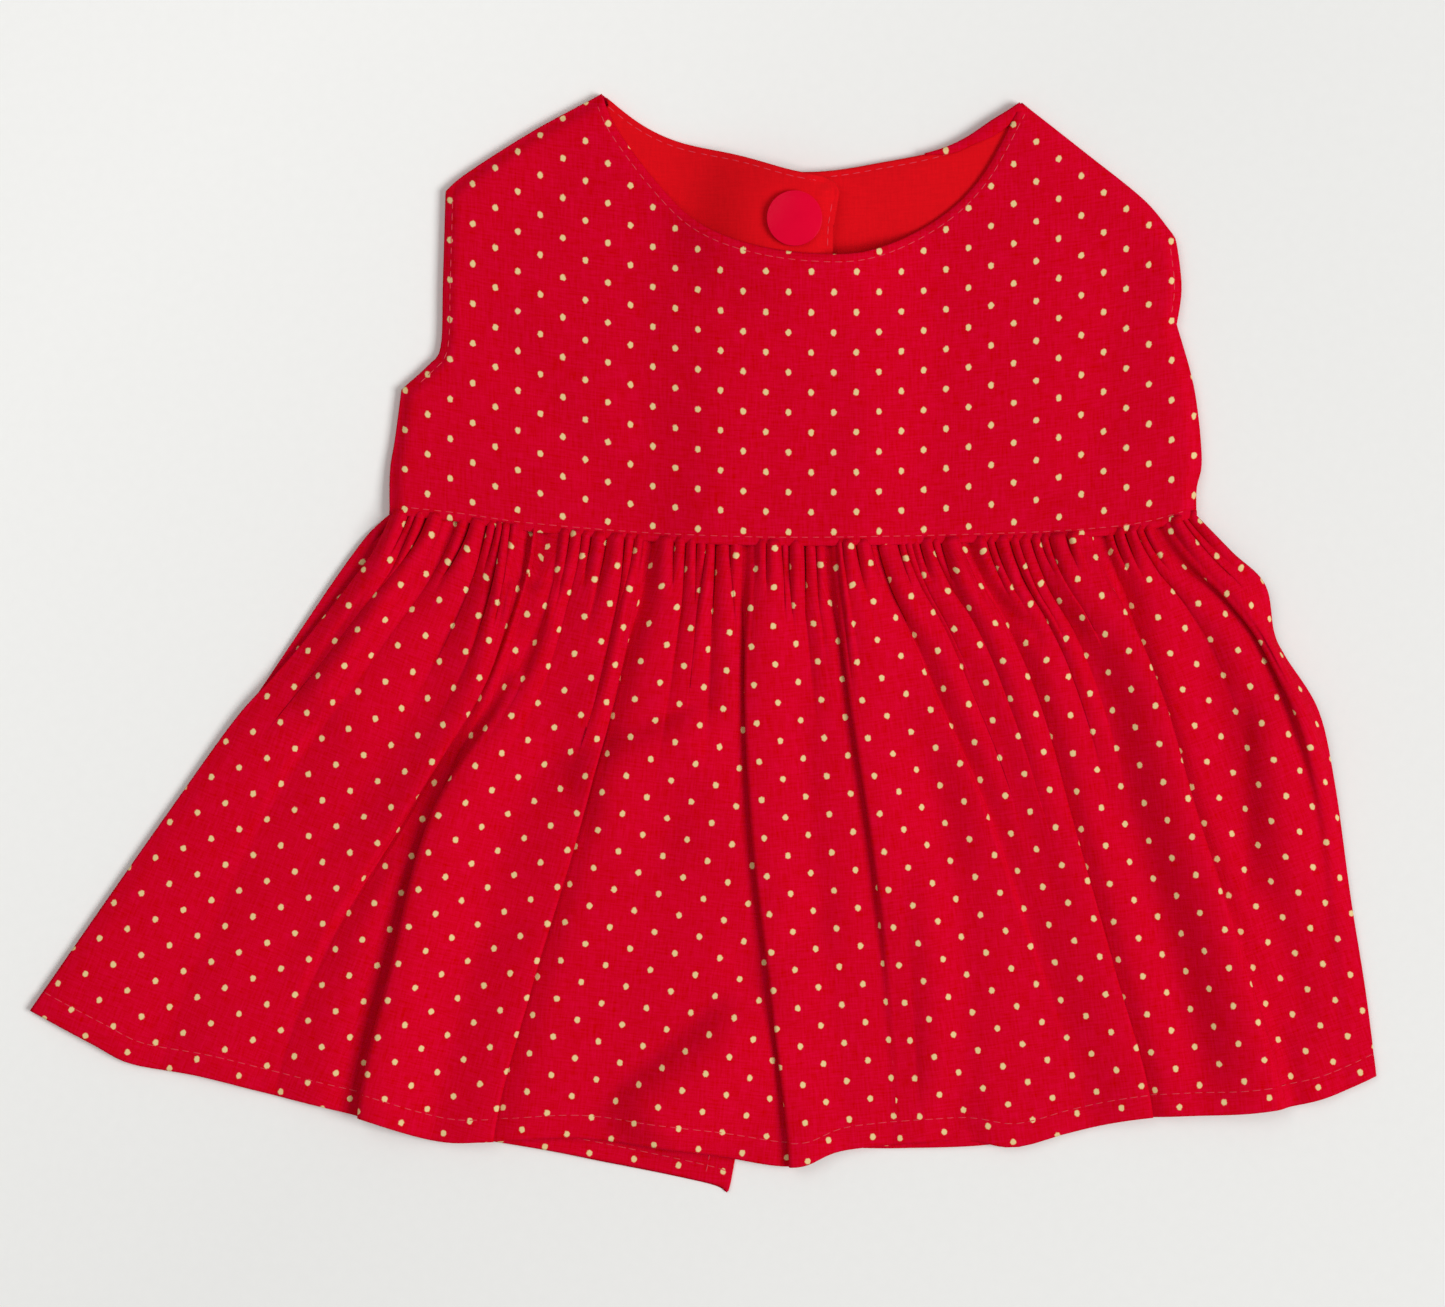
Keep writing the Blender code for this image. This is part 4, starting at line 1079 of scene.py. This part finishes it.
    def surface(self, gather, tables):
        """Grid of middle points and of print coordinates."""
        rows = [self.row(v, gather) for v in self.levels()]
        tucked = rows[0].copy()
        tucked[:, 1] += TUCK
        tucked[:, 2] = np.maximum(tucked[:, 2] - 0.45, ON_SURFACE)
        middle = np.stack([tucked] + rows)
        steps = np.diff(middle, axis=1)
        flat = np.linalg.norm(steps[..., :2], axis=2) * np.sign(steps[..., 0])
        folded = np.linalg.norm(steps, axis=2) - flat
        levels = np.concatenate(([0.0], self.levels()))
        shown = PRINT_TAKE_UP + (1 - PRINT_TAKE_UP) * ease(levels / FULL_TAKE_UP)
        folded *= shown[:, None]
        spare = np.concatenate((np.zeros((len(middle), 1)), np.cumsum(folded, axis=1)), axis=1)
        near = bell((levels[:, None] - levels[None, :]) / PRINT_CALM)
        spare = (near / near.sum(axis=1, keepdims=True)) @ spare
        prints = np.zeros(middle.shape[:2] + (2,))
        right_prints = np.zeros_like(prints)
        for sheet, table in enumerate(tables):
            mine = self.sheet_of == sheet
            chosen = mine & self.in_panel
            reached = np.concatenate(([False], mine[:-1]))
            lean = math.radians(table["lean"])
            way = middle[..., :2] - np.array(table["dot"])
            across = way @ (math.cos(lean), -math.sin(lean))
            down = way @ (-math.sin(lean), -math.cos(lean))
            start = np.array([np.interp(0.0, a[chosen], b[chosen])
                              for a, b in zip(across, spare)])
            on_sheet = np.stack((across + spare - start[:, None], down), axis=-1)
            prints[:, mine] = on_sheet[:, mine]
            right_prints[:, reached] = on_sheet[:, reached]
        return middle, prints, right_prints


FRONT_SKIRT = Skirt(
    Patch(waist_edge(WAIST[0][0], WAIST[-1][0]), FRONT_HEM, FRONT_SKIRT_LEFT, FRONT_SKIRT_RIGHT),
    front_base, 1, 1.0, FOLDS, CREASES, SKIRT_HOLLOWS, FRONT_EDGE_DROPS, SKIRT_SWELLS)
BACK_SKIRT_L = Skirt(
    Patch(waist_edge(WAIST[0][0], LAP_RIGHT), BACK_HEM_LEFT, BACK_SKIRT_LEFT, SLIT_LEFT),
    back_left_base, 101, 0.5)
BACK_SKIRT_R = Skirt(
    Patch(waist_edge(LAP_LEFT, WAIST[-1][0]), BACK_HEM_RIGHT, SLIT_RIGHT, BACK_SKIRT_RIGHT),
    back_right_base, 202, 0.5)


# Sewing


def capsules(starts, ends, normals, radius):
    """Points and faces of short round stitches, each pressed a little into the cloth."""
    sides = 6
    rings = ((0.0, 0.35), (0.14, 0.85), (0.5, 1.0), (0.86, 0.85), (1.0, 0.35))
    points = []
    faces = []
    for a, b, up in zip(starts, ends, normals):
        way = b - a
        across = np.cross(way, up)
        across /= max(np.linalg.norm(across), 1e-9)
        base = len(points)
        for share, size in rings:
            centre = a + way * share + up * radius * (0.9 * math.sin(math.pi * share) - 0.25)
            for k in range(sides):
                angle = math.tau * k / sides
                points.append(centre + radius * size * (math.cos(angle) * across
                                                        + math.sin(angle) * up))
        for ring in range(len(rings) - 1):
            for k in range(sides):
                n = (k + 1) % sides
                low = base + ring * sides
                faces.append((low + k, low + n, low + sides + n, low + sides + k))
        faces.append(tuple(base + k for k in reversed(range(sides))))
        last = base + (len(rings) - 1) * sides
        faces.append(tuple(last + k for k in range(sides)))
    return points, faces


def add_stitches(name, lines, look, finish):
    """One object of stitches along lines of surface points, given with their normals."""
    dash = look.stitch / MM
    pitch = dash + look.stitch_gap / MM
    radius = look.thread / MM
    starts = []
    ends = []
    ups = []
    for index, (line, normal) in enumerate(lines):
        steps = np.linalg.norm(np.diff(line, axis=0), axis=1)
        arc = np.concatenate(([0.0], np.cumsum(steps)))
        place = 0.4
        number = 0
        while place + dash < arc[-1]:
            long = dash * (0.88 + 0.24 * chance(number, index, 7))
            ends_at = np.array((place, place + long))
            spots = np.column_stack([np.interp(ends_at, arc, line[:, k]) for k in range(3)])
            up = np.array([np.interp(place + long / 2, arc, normal[:, k]) for k in range(3)])
            up /= np.linalg.norm(up)
            starts.append(spots[0])
            ends.append(spots[1])
            ups.append(up)
            place += pitch * (0.95 + 0.10 * chance(number, index, 8))
            number += 1
    points, faces = capsules(starts, ends, ups, radius)
    return add_object(name, np.array(points), faces, None, finish)


def flat_line(piece, knots, offset, thickness, reverse=False):
    """A line at an even distance inside one edge of a cut piece, on its upper side."""
    curve = Curve(knots[::-1] if reverse else knots)
    way = np.linspace(offset, curve.length - offset, max(3, int(curve.length / 0.6)))
    along = curve.tangent(way)
    spots = curve.along(way) + offset * np.column_stack((-along[:, 1], along[:, 0]))
    step = 0.3
    z = piece.middle(spots)
    dx = (piece.middle(spots + (step, 0)) - piece.middle(spots - (step, 0))) / (2 * step)
    dy = (piece.middle(spots + (0, step)) - piece.middle(spots - (0, step))) / (2 * step)
    normal = np.column_stack((-dx, -dy, np.ones(len(dx))))
    normal /= np.linalg.norm(normal, axis=1, keepdims=True)
    return np.column_stack((spots, z)) + normal * thickness / 2, normal


def hem_line(skirt, gather, thickness):
    """The line of stitches over the hem of a skirt piece."""
    v = 1 - HEM_STITCH / SKIRT_LENGTH
    line = skirt.row(v, gather)
    below = skirt.row(v + 0.004, gather)
    above = skirt.row(v - 0.004, gather)
    normal = np.cross(below - above, np.gradient(line, axis=0))
    normal /= np.linalg.norm(normal, axis=1, keepdims=True)
    return line + normal * thickness / 2, normal


def slit_line(skirt, gather, thickness):
    """The line of stitches up the hem of the slit, inside the right edge of a skirt piece."""
    points = []
    for v in np.linspace(0.80, 0.988, 32):
        row = skirt.row(v, gather)
        x = row[-1, 0] - SLIT_STITCH
        points.append([np.interp(x, row[:, 0], row[:, axis]) for axis in range(3)])
    line = np.array(points)
    up = np.tile((0.0, 0.0, 1.0), (len(line), 1))
    return line + up * thickness / 2, up


def neck_roll(name, thickness, finish):
    """The edge of the right back half where it rolls over its lining, beside the shoulder."""
    curve = Curve(BACK_NECK_RIGHT)
    start = curve.distance_at_x(ROLL_START)
    share = np.linspace(0.0, 1.0, 40)
    way = start + share * (curve.length - 0.4 - start)
    along = curve.tangent(way)
    inward = np.column_stack((along[:, 1], -along[:, 0]))
    width = ROLL_WIDTH * ease(share / 0.35) * (0.80 + 0.20 * np.cos(9.0 * share))
    rows = []
    for across in ROLL_ROWS:
        spots = curve.along(way) + inward * (across * width)[:, None]
        arch = ROLL_ARCH * math.sin(math.pi * min(1.0, max(0.0, across)))
        z = right_lining_height(spots[:, 0], spots[:, 1]) + IN_WALL + ROLL_LIFT + arch
        rows.append(np.column_stack((spots, z - 0.6 * max(0.0, -across))))
    middle = np.stack(rows)
    prints = bodice_print(middle[..., :2].reshape(-1, 2)).reshape(middle.shape[:2] + (2,))
    return grid_shell(name, middle, prints, prints, thickness, finish)


def turned_cap(name, finish):
    """The cap of the snap that shows: a disc with a rounded rim and a shallow dish in its face."""
    bpy.ops.object.select_all(action="DESELECT")
    centre = (SNAP[0] * MM, SNAP[1] * MM, (CAP_BOTTOM + CAP_HEIGHT / 2) * MM)
    bpy.ops.mesh.primitive_cylinder_add(vertices=72, radius=CAP_RADIUS * MM,
                                        depth=CAP_HEIGHT * MM, location=centre)
    item = bpy.context.object
    item.name = name
    for face in item.data.polygons:
        face.select = face.normal.z > 0.9
    bpy.ops.object.mode_set(mode="EDIT")
    bpy.ops.mesh.select_mode(type="FACE")
    for inward, lift in CAP_FACE_STEPS:
        bpy.ops.mesh.inset(thickness=inward * MM)
        if lift:
            bpy.ops.transform.translate(value=(0.0, 0.0, lift * MM))
    bpy.ops.object.mode_set(mode="OBJECT")
    rounding = item.modifiers.new("rounding", "BEVEL")
    rounding.width = 0.12 * MM
    rounding.segments = 3
    rounding.angle_limit = math.radians(12)
    bpy.ops.object.modifier_apply(modifier=rounding.name)
    bpy.ops.object.transform_apply(location=True, rotation=True, scale=True)
    bpy.ops.object.shade_smooth()
    item.data.materials.clear()
    item.data.materials.append(finish)
    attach(item, "root")
    return item


# Materials


def add(tree, kind, values=None, links=None, **settings):
    """Add one node with its settings, input values and links."""
    node = tree.nodes.new(kind)
    for key, value in settings.items():
        setattr(node, key, value)
    for key, value in (values or {}).items():
        node.inputs[key].default_value = value
    for key, source in (links or {}).items():
        tree.links.new(source, node.inputs[key])
    return node


def fresh_material(name):
    """An empty node material and its tree, or the material made before and no tree."""
    if name in bpy.data.materials:
        return bpy.data.materials[name], None
    made = bpy.data.materials.new(name)
    made.use_nodes = True
    made.node_tree.nodes.clear()
    return made, made.node_tree


def weave(tree, coordinate):
    """Height of a plain weave, and a tone from 0 to 1 that shows its thicker threads as slubs.

    Its threads are 0.2 mm apart, too fine to show, so the noise of single threads is drawn
    0.5 mm wide and 5 mm long.
    """
    down = add(tree, "ShaderNodeMapping", {"Scale": (1.0, 0.10, 1.0)}, {"Vector": coordinate})
    warp = add(tree, "ShaderNodeTexNoise", {"Scale": 2.0, "Detail": 4.0, "Roughness": 0.7},
               {"Vector": down.outputs[0]})
    across = add(tree, "ShaderNodeMapping", {"Scale": (0.10, 1.0, 1.0)}, {"Vector": coordinate})
    weft = add(tree, "ShaderNodeTexNoise", {"Scale": 2.2, "Detail": 4.0, "Roughness": 0.7},
               {"Vector": across.outputs[0]})
    threads = add(tree, "ShaderNodeMath", links={0: warp.outputs[0], 1: weft.outputs[0]},
                  operation="ADD").outputs[0]
    tone = add(tree, "ShaderNodeMapRange", {"From Min": 0.75, "From Max": 1.25},
               {"Value": threads}).outputs[0]
    return threads, tone


def printed_dots(tree, coordinate, look):
    """1 inside a printed dot, at the corners and the middle of each cell of the print.

    The ink takes unevenly on the threads, so each dot is a little ragged.
    """
    cell = (look.dot_across / MM, look.dot_down / MM, 1.0)
    ways = []
    for shift in (0.5, 0.0):
        scaled = add(tree, "ShaderNodeVectorMath", {1: (1 / cell[0], 1 / cell[1], 0.0)},
                     {0: coordinate}, operation="MULTIPLY")
        moved = add(tree, "ShaderNodeVectorMath", {1: (shift, shift, 0.0)},
                    {0: scaled.outputs[0]}, operation="ADD")
        part = add(tree, "ShaderNodeVectorMath", links={0: moved.outputs[0]},
                   operation="FRACTION")
        centred = add(tree, "ShaderNodeVectorMath", {1: (0.5, 0.5, 0.0)},
                      {0: part.outputs[0]}, operation="SUBTRACT")
        sized = add(tree, "ShaderNodeVectorMath", {1: (cell[0] * DOT_SLIM, cell[1], 1.0)},
                    {0: centred.outputs[0]}, operation="MULTIPLY")
        ways.append(add(tree, "ShaderNodeVectorMath", links={0: sized.outputs[0]},
                        operation="LENGTH").outputs["Value"])
    nearest = add(tree, "ShaderNodeMath", links={0: ways[0], 1: ways[1]},
                  operation="MINIMUM").outputs[0]
    ragged = add(tree, "ShaderNodeTexNoise", {"Scale": 1.8, "Detail": 3.0},
                 {"Vector": coordinate}).outputs[0]
    edge = add(tree, "ShaderNodeMath", {1: 0.6, 2: -0.3}, {0: ragged},
               operation="MULTIPLY_ADD").outputs[0]
    reach = add(tree, "ShaderNodeMath", links={0: nearest, 1: edge}, operation="ADD").outputs[0]
    radius = look.dot / MM / 2
    return add(tree, "ShaderNodeMapRange", {"From Min": radius + 0.10, "From Max": radius - 0.10},
               {"Value": reach}).outputs[0]


def dotted_cotton(look):
    """Piece-dyed woven cotton with pigment dots: a deep matt red with no shine, and dots of
    flat gold that are a little smoother than the cloth and catch a dull light."""
    made, tree = fresh_material("printed_cotton_cloth")
    if tree is None:
        return made
    coordinate = add(tree, "ShaderNodeUVMap", uv_map="Print").outputs[0]
    threads, tone = weave(tree, coordinate)
    cloud = add(tree, "ShaderNodeTexNoise", {"Scale": 0.09, "Detail": 3.0, "Roughness": 0.6},
                {"Vector": coordinate}).outputs[0]
    value = add(tree, "ShaderNodeMapRange", {"From Min": 0.35, "From Max": 0.65,
                                             "To Min": 0.985, "To Max": 1.015},
                {"Value": cloud}).outputs[0]
    dyed = add(tree, "ShaderNodeMix", {6: (*look.dress_red, 1.0), 7: (*look.slub_pink, 1.0)},
               {0: tone}, data_type="RGBA").outputs[2]
    cloth = add(tree, "ShaderNodeHueSaturation", links={"Color": dyed, "Value": value}).outputs[0]
    mask = printed_dots(tree, coordinate, look)
    mix = add(tree, "ShaderNodeMix", {7: (*look.dot_gold, 1.0)}, {0: mask, 6: cloth},
              data_type="RGBA")
    rough = add(tree, "ShaderNodeMapRange", {"To Min": 0.88, "To Max": 0.60},
                {"Value": mask}).outputs[0]
    height = add(tree, "ShaderNodeMath", {1: 0.8}, {0: mask, 2: threads},
                 operation="MULTIPLY_ADD").outputs[0]
    relief = add(tree, "ShaderNodeBump", {"Strength": 0.40, "Distance": 0.00012},
                 {"Height": height})
    shader = add(tree, "ShaderNodeBsdfPrincipled",
                 {"Specular IOR Level": 0.02, "Sheen Weight": 0.06, "Sheen Roughness": 0.5,
                  "Sheen Tint": (0.80, 0.02, 0.05, 1.0)},
                 {"Base Color": mix.outputs[2], "Roughness": rough, "Normal": relief.outputs[0]})
    add(tree, "ShaderNodeOutputMaterial", links={"Surface": shader.outputs[0]})
    return made


def lining_cotton(look):
    """Plain dyed cotton lawn: matt, more orange than the outside, with faint slubs."""
    made, tree = fresh_material("plain_lining_cloth")
    if tree is None:
        return made
    coordinate = add(tree, "ShaderNodeUVMap", uv_map="Print").outputs[0]
    threads, tone = weave(tree, coordinate)
    value = add(tree, "ShaderNodeMapRange", {"To Min": 0.92, "To Max": 1.08},
                {"Value": tone}).outputs[0]
    cloth = add(tree, "ShaderNodeHueSaturation", {"Color": (*look.lining_red, 1.0)},
                {"Value": value}).outputs[0]
    relief = add(tree, "ShaderNodeBump", {"Strength": 0.25, "Distance": 0.0001},
                 {"Height": threads})
    shader = add(tree, "ShaderNodeBsdfPrincipled",
                 {"Roughness": 0.85, "Specular IOR Level": 0.03, "Sheen Weight": 0.06,
                  "Sheen Roughness": 0.5, "Sheen Tint": (0.90, 0.10, 0.04, 1.0)},
                 {"Base Color": cloth, "Normal": relief.outputs[0]})
    add(tree, "ShaderNodeOutputMaterial", links={"Surface": shader.outputs[0]})
    return made


def sewing_thread(look):
    """Spun polyester sewing thread: lighter than the cloth it is sewn into, with a faint gloss
    that comes and goes with its twist."""
    made, tree = fresh_material("spun_sewing_thread")
    if tree is None:
        return made
    coordinate = add(tree, "ShaderNodeTexCoord").outputs["Object"]
    noise = add(tree, "ShaderNodeTexNoise", {"Scale": 2600.0, "Detail": 2.0},
                {"Vector": coordinate}).outputs[0]
    value = add(tree, "ShaderNodeMapRange", {"To Min": 0.75, "To Max": 1.15},
                {"Value": noise}).outputs[0]
    shade = add(tree, "ShaderNodeHueSaturation", {"Color": (*look.thread_pink, 1.0)},
                {"Value": value})
    relief = add(tree, "ShaderNodeBump", {"Strength": 0.4, "Distance": 0.00004},
                 {"Height": noise})
    shader = add(tree, "ShaderNodeBsdfPrincipled", {"Roughness": 0.5, "Specular IOR Level": 0.2},
                 {"Base Color": shade.outputs[0], "Normal": relief.outputs[0]})
    add(tree, "ShaderNodeOutputMaterial", links={"Surface": shader.outputs[0]})
    return made


def snap_plastic(look):
    """Moulded acetal with a polished face: a deep red under a clear, slightly uneven gloss."""
    made, tree = fresh_material("moulded_snap_plastic")
    if tree is None:
        return made
    coordinate = add(tree, "ShaderNodeTexCoord").outputs["Object"]
    noise = add(tree, "ShaderNodeTexNoise", {"Scale": 260.0, "Detail": 2.0},
                {"Vector": coordinate}).outputs[0]
    rough = add(tree, "ShaderNodeMapRange", {"To Min": 0.16, "To Max": 0.30},
                {"Value": noise}).outputs[0]
    value = add(tree, "ShaderNodeMapRange", {"To Min": 0.95, "To Max": 1.05},
                {"Value": noise}).outputs[0]
    shade = add(tree, "ShaderNodeHueSaturation", {"Color": (*look.snap_red, 1.0)},
                {"Value": value})
    relief = add(tree, "ShaderNodeBump", {"Strength": 0.05, "Distance": 0.0002},
                 {"Height": noise})
    shader = add(tree, "ShaderNodeBsdfPrincipled", {"Specular IOR Level": 0.05, "IOR": 1.48},
                 {"Base Color": shade.outputs[0], "Roughness": rough,
                  "Normal": relief.outputs[0]})
    add(tree, "ShaderNodeOutputMaterial", links={"Surface": shader.outputs[0]})
    return made


def floor_finish(look):
    """Smooth matt white board, with a very faint mottle and no reflection. Its colour holds painted
    light: it is painted a little paler toward the top left, as if more light fell there."""
    made, tree = fresh_material("white_board_with_painted_light")
    if tree is None:
        return made
    coordinate = add(tree, "ShaderNodeTexCoord").outputs["Object"]
    noise = add(tree, "ShaderNodeTexNoise", {"Scale": 420.0, "Detail": 3.0},
                {"Vector": coordinate}).outputs[0]
    value = add(tree, "ShaderNodeMapRange", {"To Min": 0.985, "To Max": 1.015},
                {"Value": noise}).outputs[0]
    # Painted light: the board's colour is raised by up to 11 per cent toward the top left
    way = add(tree, "ShaderNodeVectorMath", {1: (-0.80, 0.60, 0.0)}, {0: coordinate},
              operation="DOT_PRODUCT").outputs["Value"]
    painted_light_gradient = add(tree, "ShaderNodeMapRange", {"From Min": 0.0, "From Max": 0.16, "To Min": 1.0,
                                             "To Max": 1.11}, {"Value": way}).outputs[0]
    value = add(tree, "ShaderNodeMath", links={0: value, 1: painted_light_gradient},
                operation="MULTIPLY").outputs[0]
    shade = add(tree, "ShaderNodeHueSaturation", {"Color": (*look.floor_white, 1.0)},
                {"Value": value})
    relief = add(tree, "ShaderNodeBump", {"Strength": 0.08, "Distance": 0.0004},
                 {"Height": noise})
    shader = add(tree, "ShaderNodeBsdfPrincipled", {"Roughness": 0.9, "Specular IOR Level": 0.1},
                 {"Base Color": shade.outputs[0], "Normal": relief.outputs[0]})
    add(tree, "ShaderNodeOutputMaterial", links={"Surface": shader.outputs[0]})
    return made


# Operators, one for each piece or group of like pieces


class DRESS_OT_bodice_back(bpy.types.Operator):
    """Build the two back halves of the bodice"""

    bl_idname = "dress.bodice_back"
    bl_label = "Back bodice"

    def execute(self, context):
        look = context.scene.dress
        finish = dotted_cotton(look)
        thickness = look.thickness / MM
        left = BACK_LEFT.build("cloth_bodice_back_left", bodice_print, thickness, finish)
        right = BACK_RIGHT.build("cloth_bodice_back_right", bodice_print, thickness, finish)
        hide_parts("bodice_back_left")
        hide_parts("bodice_back_right")
        roll = neck_roll("cloth_neck_roll", thickness, finish)
        return {"FINISHED"}


class DRESS_OT_lining(bpy.types.Operator):
    """Build the lining of the two back halves"""

    bl_idname = "dress.lining"
    bl_label = "Lining"

    def execute(self, context):
        look = context.scene.dress
        finish = lining_cotton(look)
        thickness = look.thickness / MM
        left = LINING_LEFT.build("cloth_lining_left", bodice_print, thickness, finish)
        right = LINING_RIGHT.build("cloth_lining_right", bodice_print, thickness, finish)
        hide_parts("lining_back_left")
        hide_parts("lining_back_right")
        return {"FINISHED"}


class DRESS_OT_bodice_front(bpy.types.Operator):
    """Build the front of the bodice"""

    bl_idname = "dress.bodice_front"
    bl_label = "Front bodice"

    def execute(self, context):
        look = context.scene.dress
        item = FRONT_BODICE.build("cloth_bodice_front", bodice_print, look.thickness / MM,
                                  dotted_cotton(look))
        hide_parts("bodice_front")
        return {"FINISHED"}


class DRESS_OT_skirt_back(bpy.types.Operator):
    """Build the two back pieces of the skirt"""

    bl_idname = "dress.skirt_back"
    bl_label = "Back skirt"

    def execute(self, context):
        look = context.scene.dress
        finish = dotted_cotton(look)
        thickness = look.thickness / MM
        for skirt, node, width, tables in (
            (BACK_SKIRT_L, "skirt_back_left", 0.170, BACK_PRINT_LEFT),
            (BACK_SKIRT_R, "skirt_back_right", 0.150, BACK_PRINT_RIGHT),
        ):
            item = grid_shell("cloth_" + node, *skirt.surface(look.gather / MM, tables),
                              thickness, finish)
            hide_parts(node)
        return {"FINISHED"}


class DRESS_OT_skirt_front(bpy.types.Operator):
    """Build the front of the skirt"""

    bl_idname = "dress.skirt_front"
    bl_label = "Front skirt"

    def execute(self, context):
        look = context.scene.dress
        item = grid_shell("cloth_skirt_front",
                          *FRONT_SKIRT.surface(look.gather / MM, FRONT_PRINT),
                          look.thickness / MM, dotted_cotton(look))
        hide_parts("skirt_front")
        return {"FINISHED"}


class DRESS_OT_snap(bpy.types.Operator):
    """Model the cap of the snap that shows, and finish the rest of the snap"""

    bl_idname = "dress.snap"
    bl_label = "Snap"

    def execute(self, context):
        look = context.scene.dress
        finish = snap_plastic(look)
        for node in ("snap_cap_outer", "snap_stud", "snap_socket"):
            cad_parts[node].data.materials.clear()
            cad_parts[node].data.materials.append(finish)
        cap = turned_cap("snap_cap_face", finish)
        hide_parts("snap_cap_inner")
        return {"FINISHED"}


class DRESS_OT_stitches(bpy.types.Operator):
    """Sew the lines of stitches that show"""

    bl_idname = "dress.stitches"
    bl_label = "Stitches"

    def execute(self, context):
        look = context.scene.dress
        finish = sewing_thread(look)
        cloth = look.thickness / MM
        gather = look.gather / MM
        bodice = [
            flat_line(FRONT_BODICE, FRONT_NECK, NECK_STITCH, cloth, True),
            flat_line(FRONT_BODICE, LEFT_ARMHOLE, SEAM_STITCH, cloth),
            flat_line(FRONT_BODICE, RIGHT_ARMHOLE, SEAM_STITCH, cloth),
            flat_line(FRONT_BODICE, waist_edge(WAIST[0][0], WAIST[-1][0]), SEAM_STITCH, cloth),
        ]
        lining = [
            flat_line(LINING_LEFT, BACK_NECK_LEFT, BACK_STITCH, cloth, True),
            flat_line(LINING_LEFT, TAB_EDGE, BACK_STITCH, cloth),
            flat_line(LINING_RIGHT, BACK_NECK_RIGHT, BACK_STITCH, cloth, True),
        ]
        add_stitches("stitches_bodice_front", bodice, look, finish)
        add_stitches("stitches_lining", lining, look, finish)
        add_stitches("stitches_hem_front", [hem_line(FRONT_SKIRT, gather, cloth)], look, finish)
        add_stitches("stitches_hem_back",
                     [hem_line(BACK_SKIRT_L, gather, cloth), hem_line(BACK_SKIRT_R, gather, cloth),
                      slit_line(BACK_SKIRT_L, gather, cloth)], look, finish)
        return {"FINISHED"}


class DRESS_OT_stage(bpy.types.Operator):
    """Place the surface, the lights and the camera"""

    bl_idname = "dress.stage"
    bl_label = "Stage"

    def execute(self, context):
        look = context.scene.dress
        scene = context.scene
        mesh = bpy.data.meshes.new("surface")
        corners = [(x, y, FLOOR_LEVEL) for x, y in ((-2, -2), (2, -2), (2, 2), (-2, 2))]
        mesh.from_pydata(corners, [], [(0, 1, 2, 3)])
        mesh.materials.append(floor_finish(look))
        floor = bpy.data.objects.new("surface", mesh)
        scene.collection.objects.link(floor)
        world = bpy.data.worlds.new("studio")
        world.use_nodes = True
        background = world.node_tree.nodes["Background"]
        background.inputs["Color"].default_value = ROOM_COLOUR
        background.inputs["Strength"].default_value = ROOM_LIGHT
        scene.world = world
        for light in LIGHTS:
            lamp = bpy.data.lights.new(light["name"], "AREA")
            lamp.shape = "SQUARE"
            lamp.size = light["size"]
            lamp.energy = light["power"]
            item = bpy.data.objects.new(light["name"], lamp)
            item.location = light["place"]
            aim = Vector((0.0, 0.0, 0.0)) - item.location
            item.rotation_euler = aim.to_track_quat("-Z", "Y").to_euler()
            scene.collection.objects.link(item)
        camera = bpy.data.cameras.new("camera")
        camera.sensor_width = SENSOR_WIDTH
        camera.lens = SENSOR_WIDTH * (look.camera_height / MM) / VIEW_WIDTH
        camera.clip_start = 0.01
        camera.clip_end = 10.0
        eye = bpy.data.objects.new("camera", camera)
        eye.location = (*VIEW_CENTRE, look.camera_height)
        scene.collection.objects.link(eye)
        scene.camera = eye
        scene.view_settings.view_transform = "Standard"
        return {"FINISHED"}


OPERATORS = (
    DRESS_OT_bodice_back, DRESS_OT_lining, DRESS_OT_bodice_front, DRESS_OT_skirt_back,
    DRESS_OT_skirt_front, DRESS_OT_snap, DRESS_OT_stitches, DRESS_OT_stage,
)


class DRESS_PT_sidebar(bpy.types.Panel):
    """Sizes, colours and the step for each piece"""

    bl_idname = "DRESS_PT_sidebar"
    bl_label = "Sarafan dress"
    bl_space_type = "VIEW_3D"
    bl_region_type = "UI"
    bl_category = "Dress"

    def draw(self, context):
        for name in DressSettings.__annotations__:
            self.layout.prop(context.scene.dress, name)
        for kind in OPERATORS:
            self.layout.operator(kind.bl_idname)


def register():
    """Make the settings, the steps and the sidebar known."""
    for kind in (DressSettings, *OPERATORS, DRESS_PT_sidebar):
        bpy.utils.register_class(kind)
    bpy.types.Scene.dress = PointerProperty(type=DressSettings)


def unregister():
    """Take them out again."""
    del bpy.types.Scene.dress
    for kind in reversed((DressSettings, *OPERATORS, DRESS_PT_sidebar)):
        bpy.utils.unregister_class(kind)


def main():
    """Build every piece in order."""
    register()
    bpy.ops.dress.bodice_back()
    bpy.ops.dress.lining()
    bpy.ops.dress.bodice_front()
    bpy.ops.dress.skirt_back()
    bpy.ops.dress.skirt_front()
    bpy.ops.dress.snap()
    bpy.ops.dress.stitches()
    bpy.ops.dress.stage()


if __name__ == "__main__":
    main()
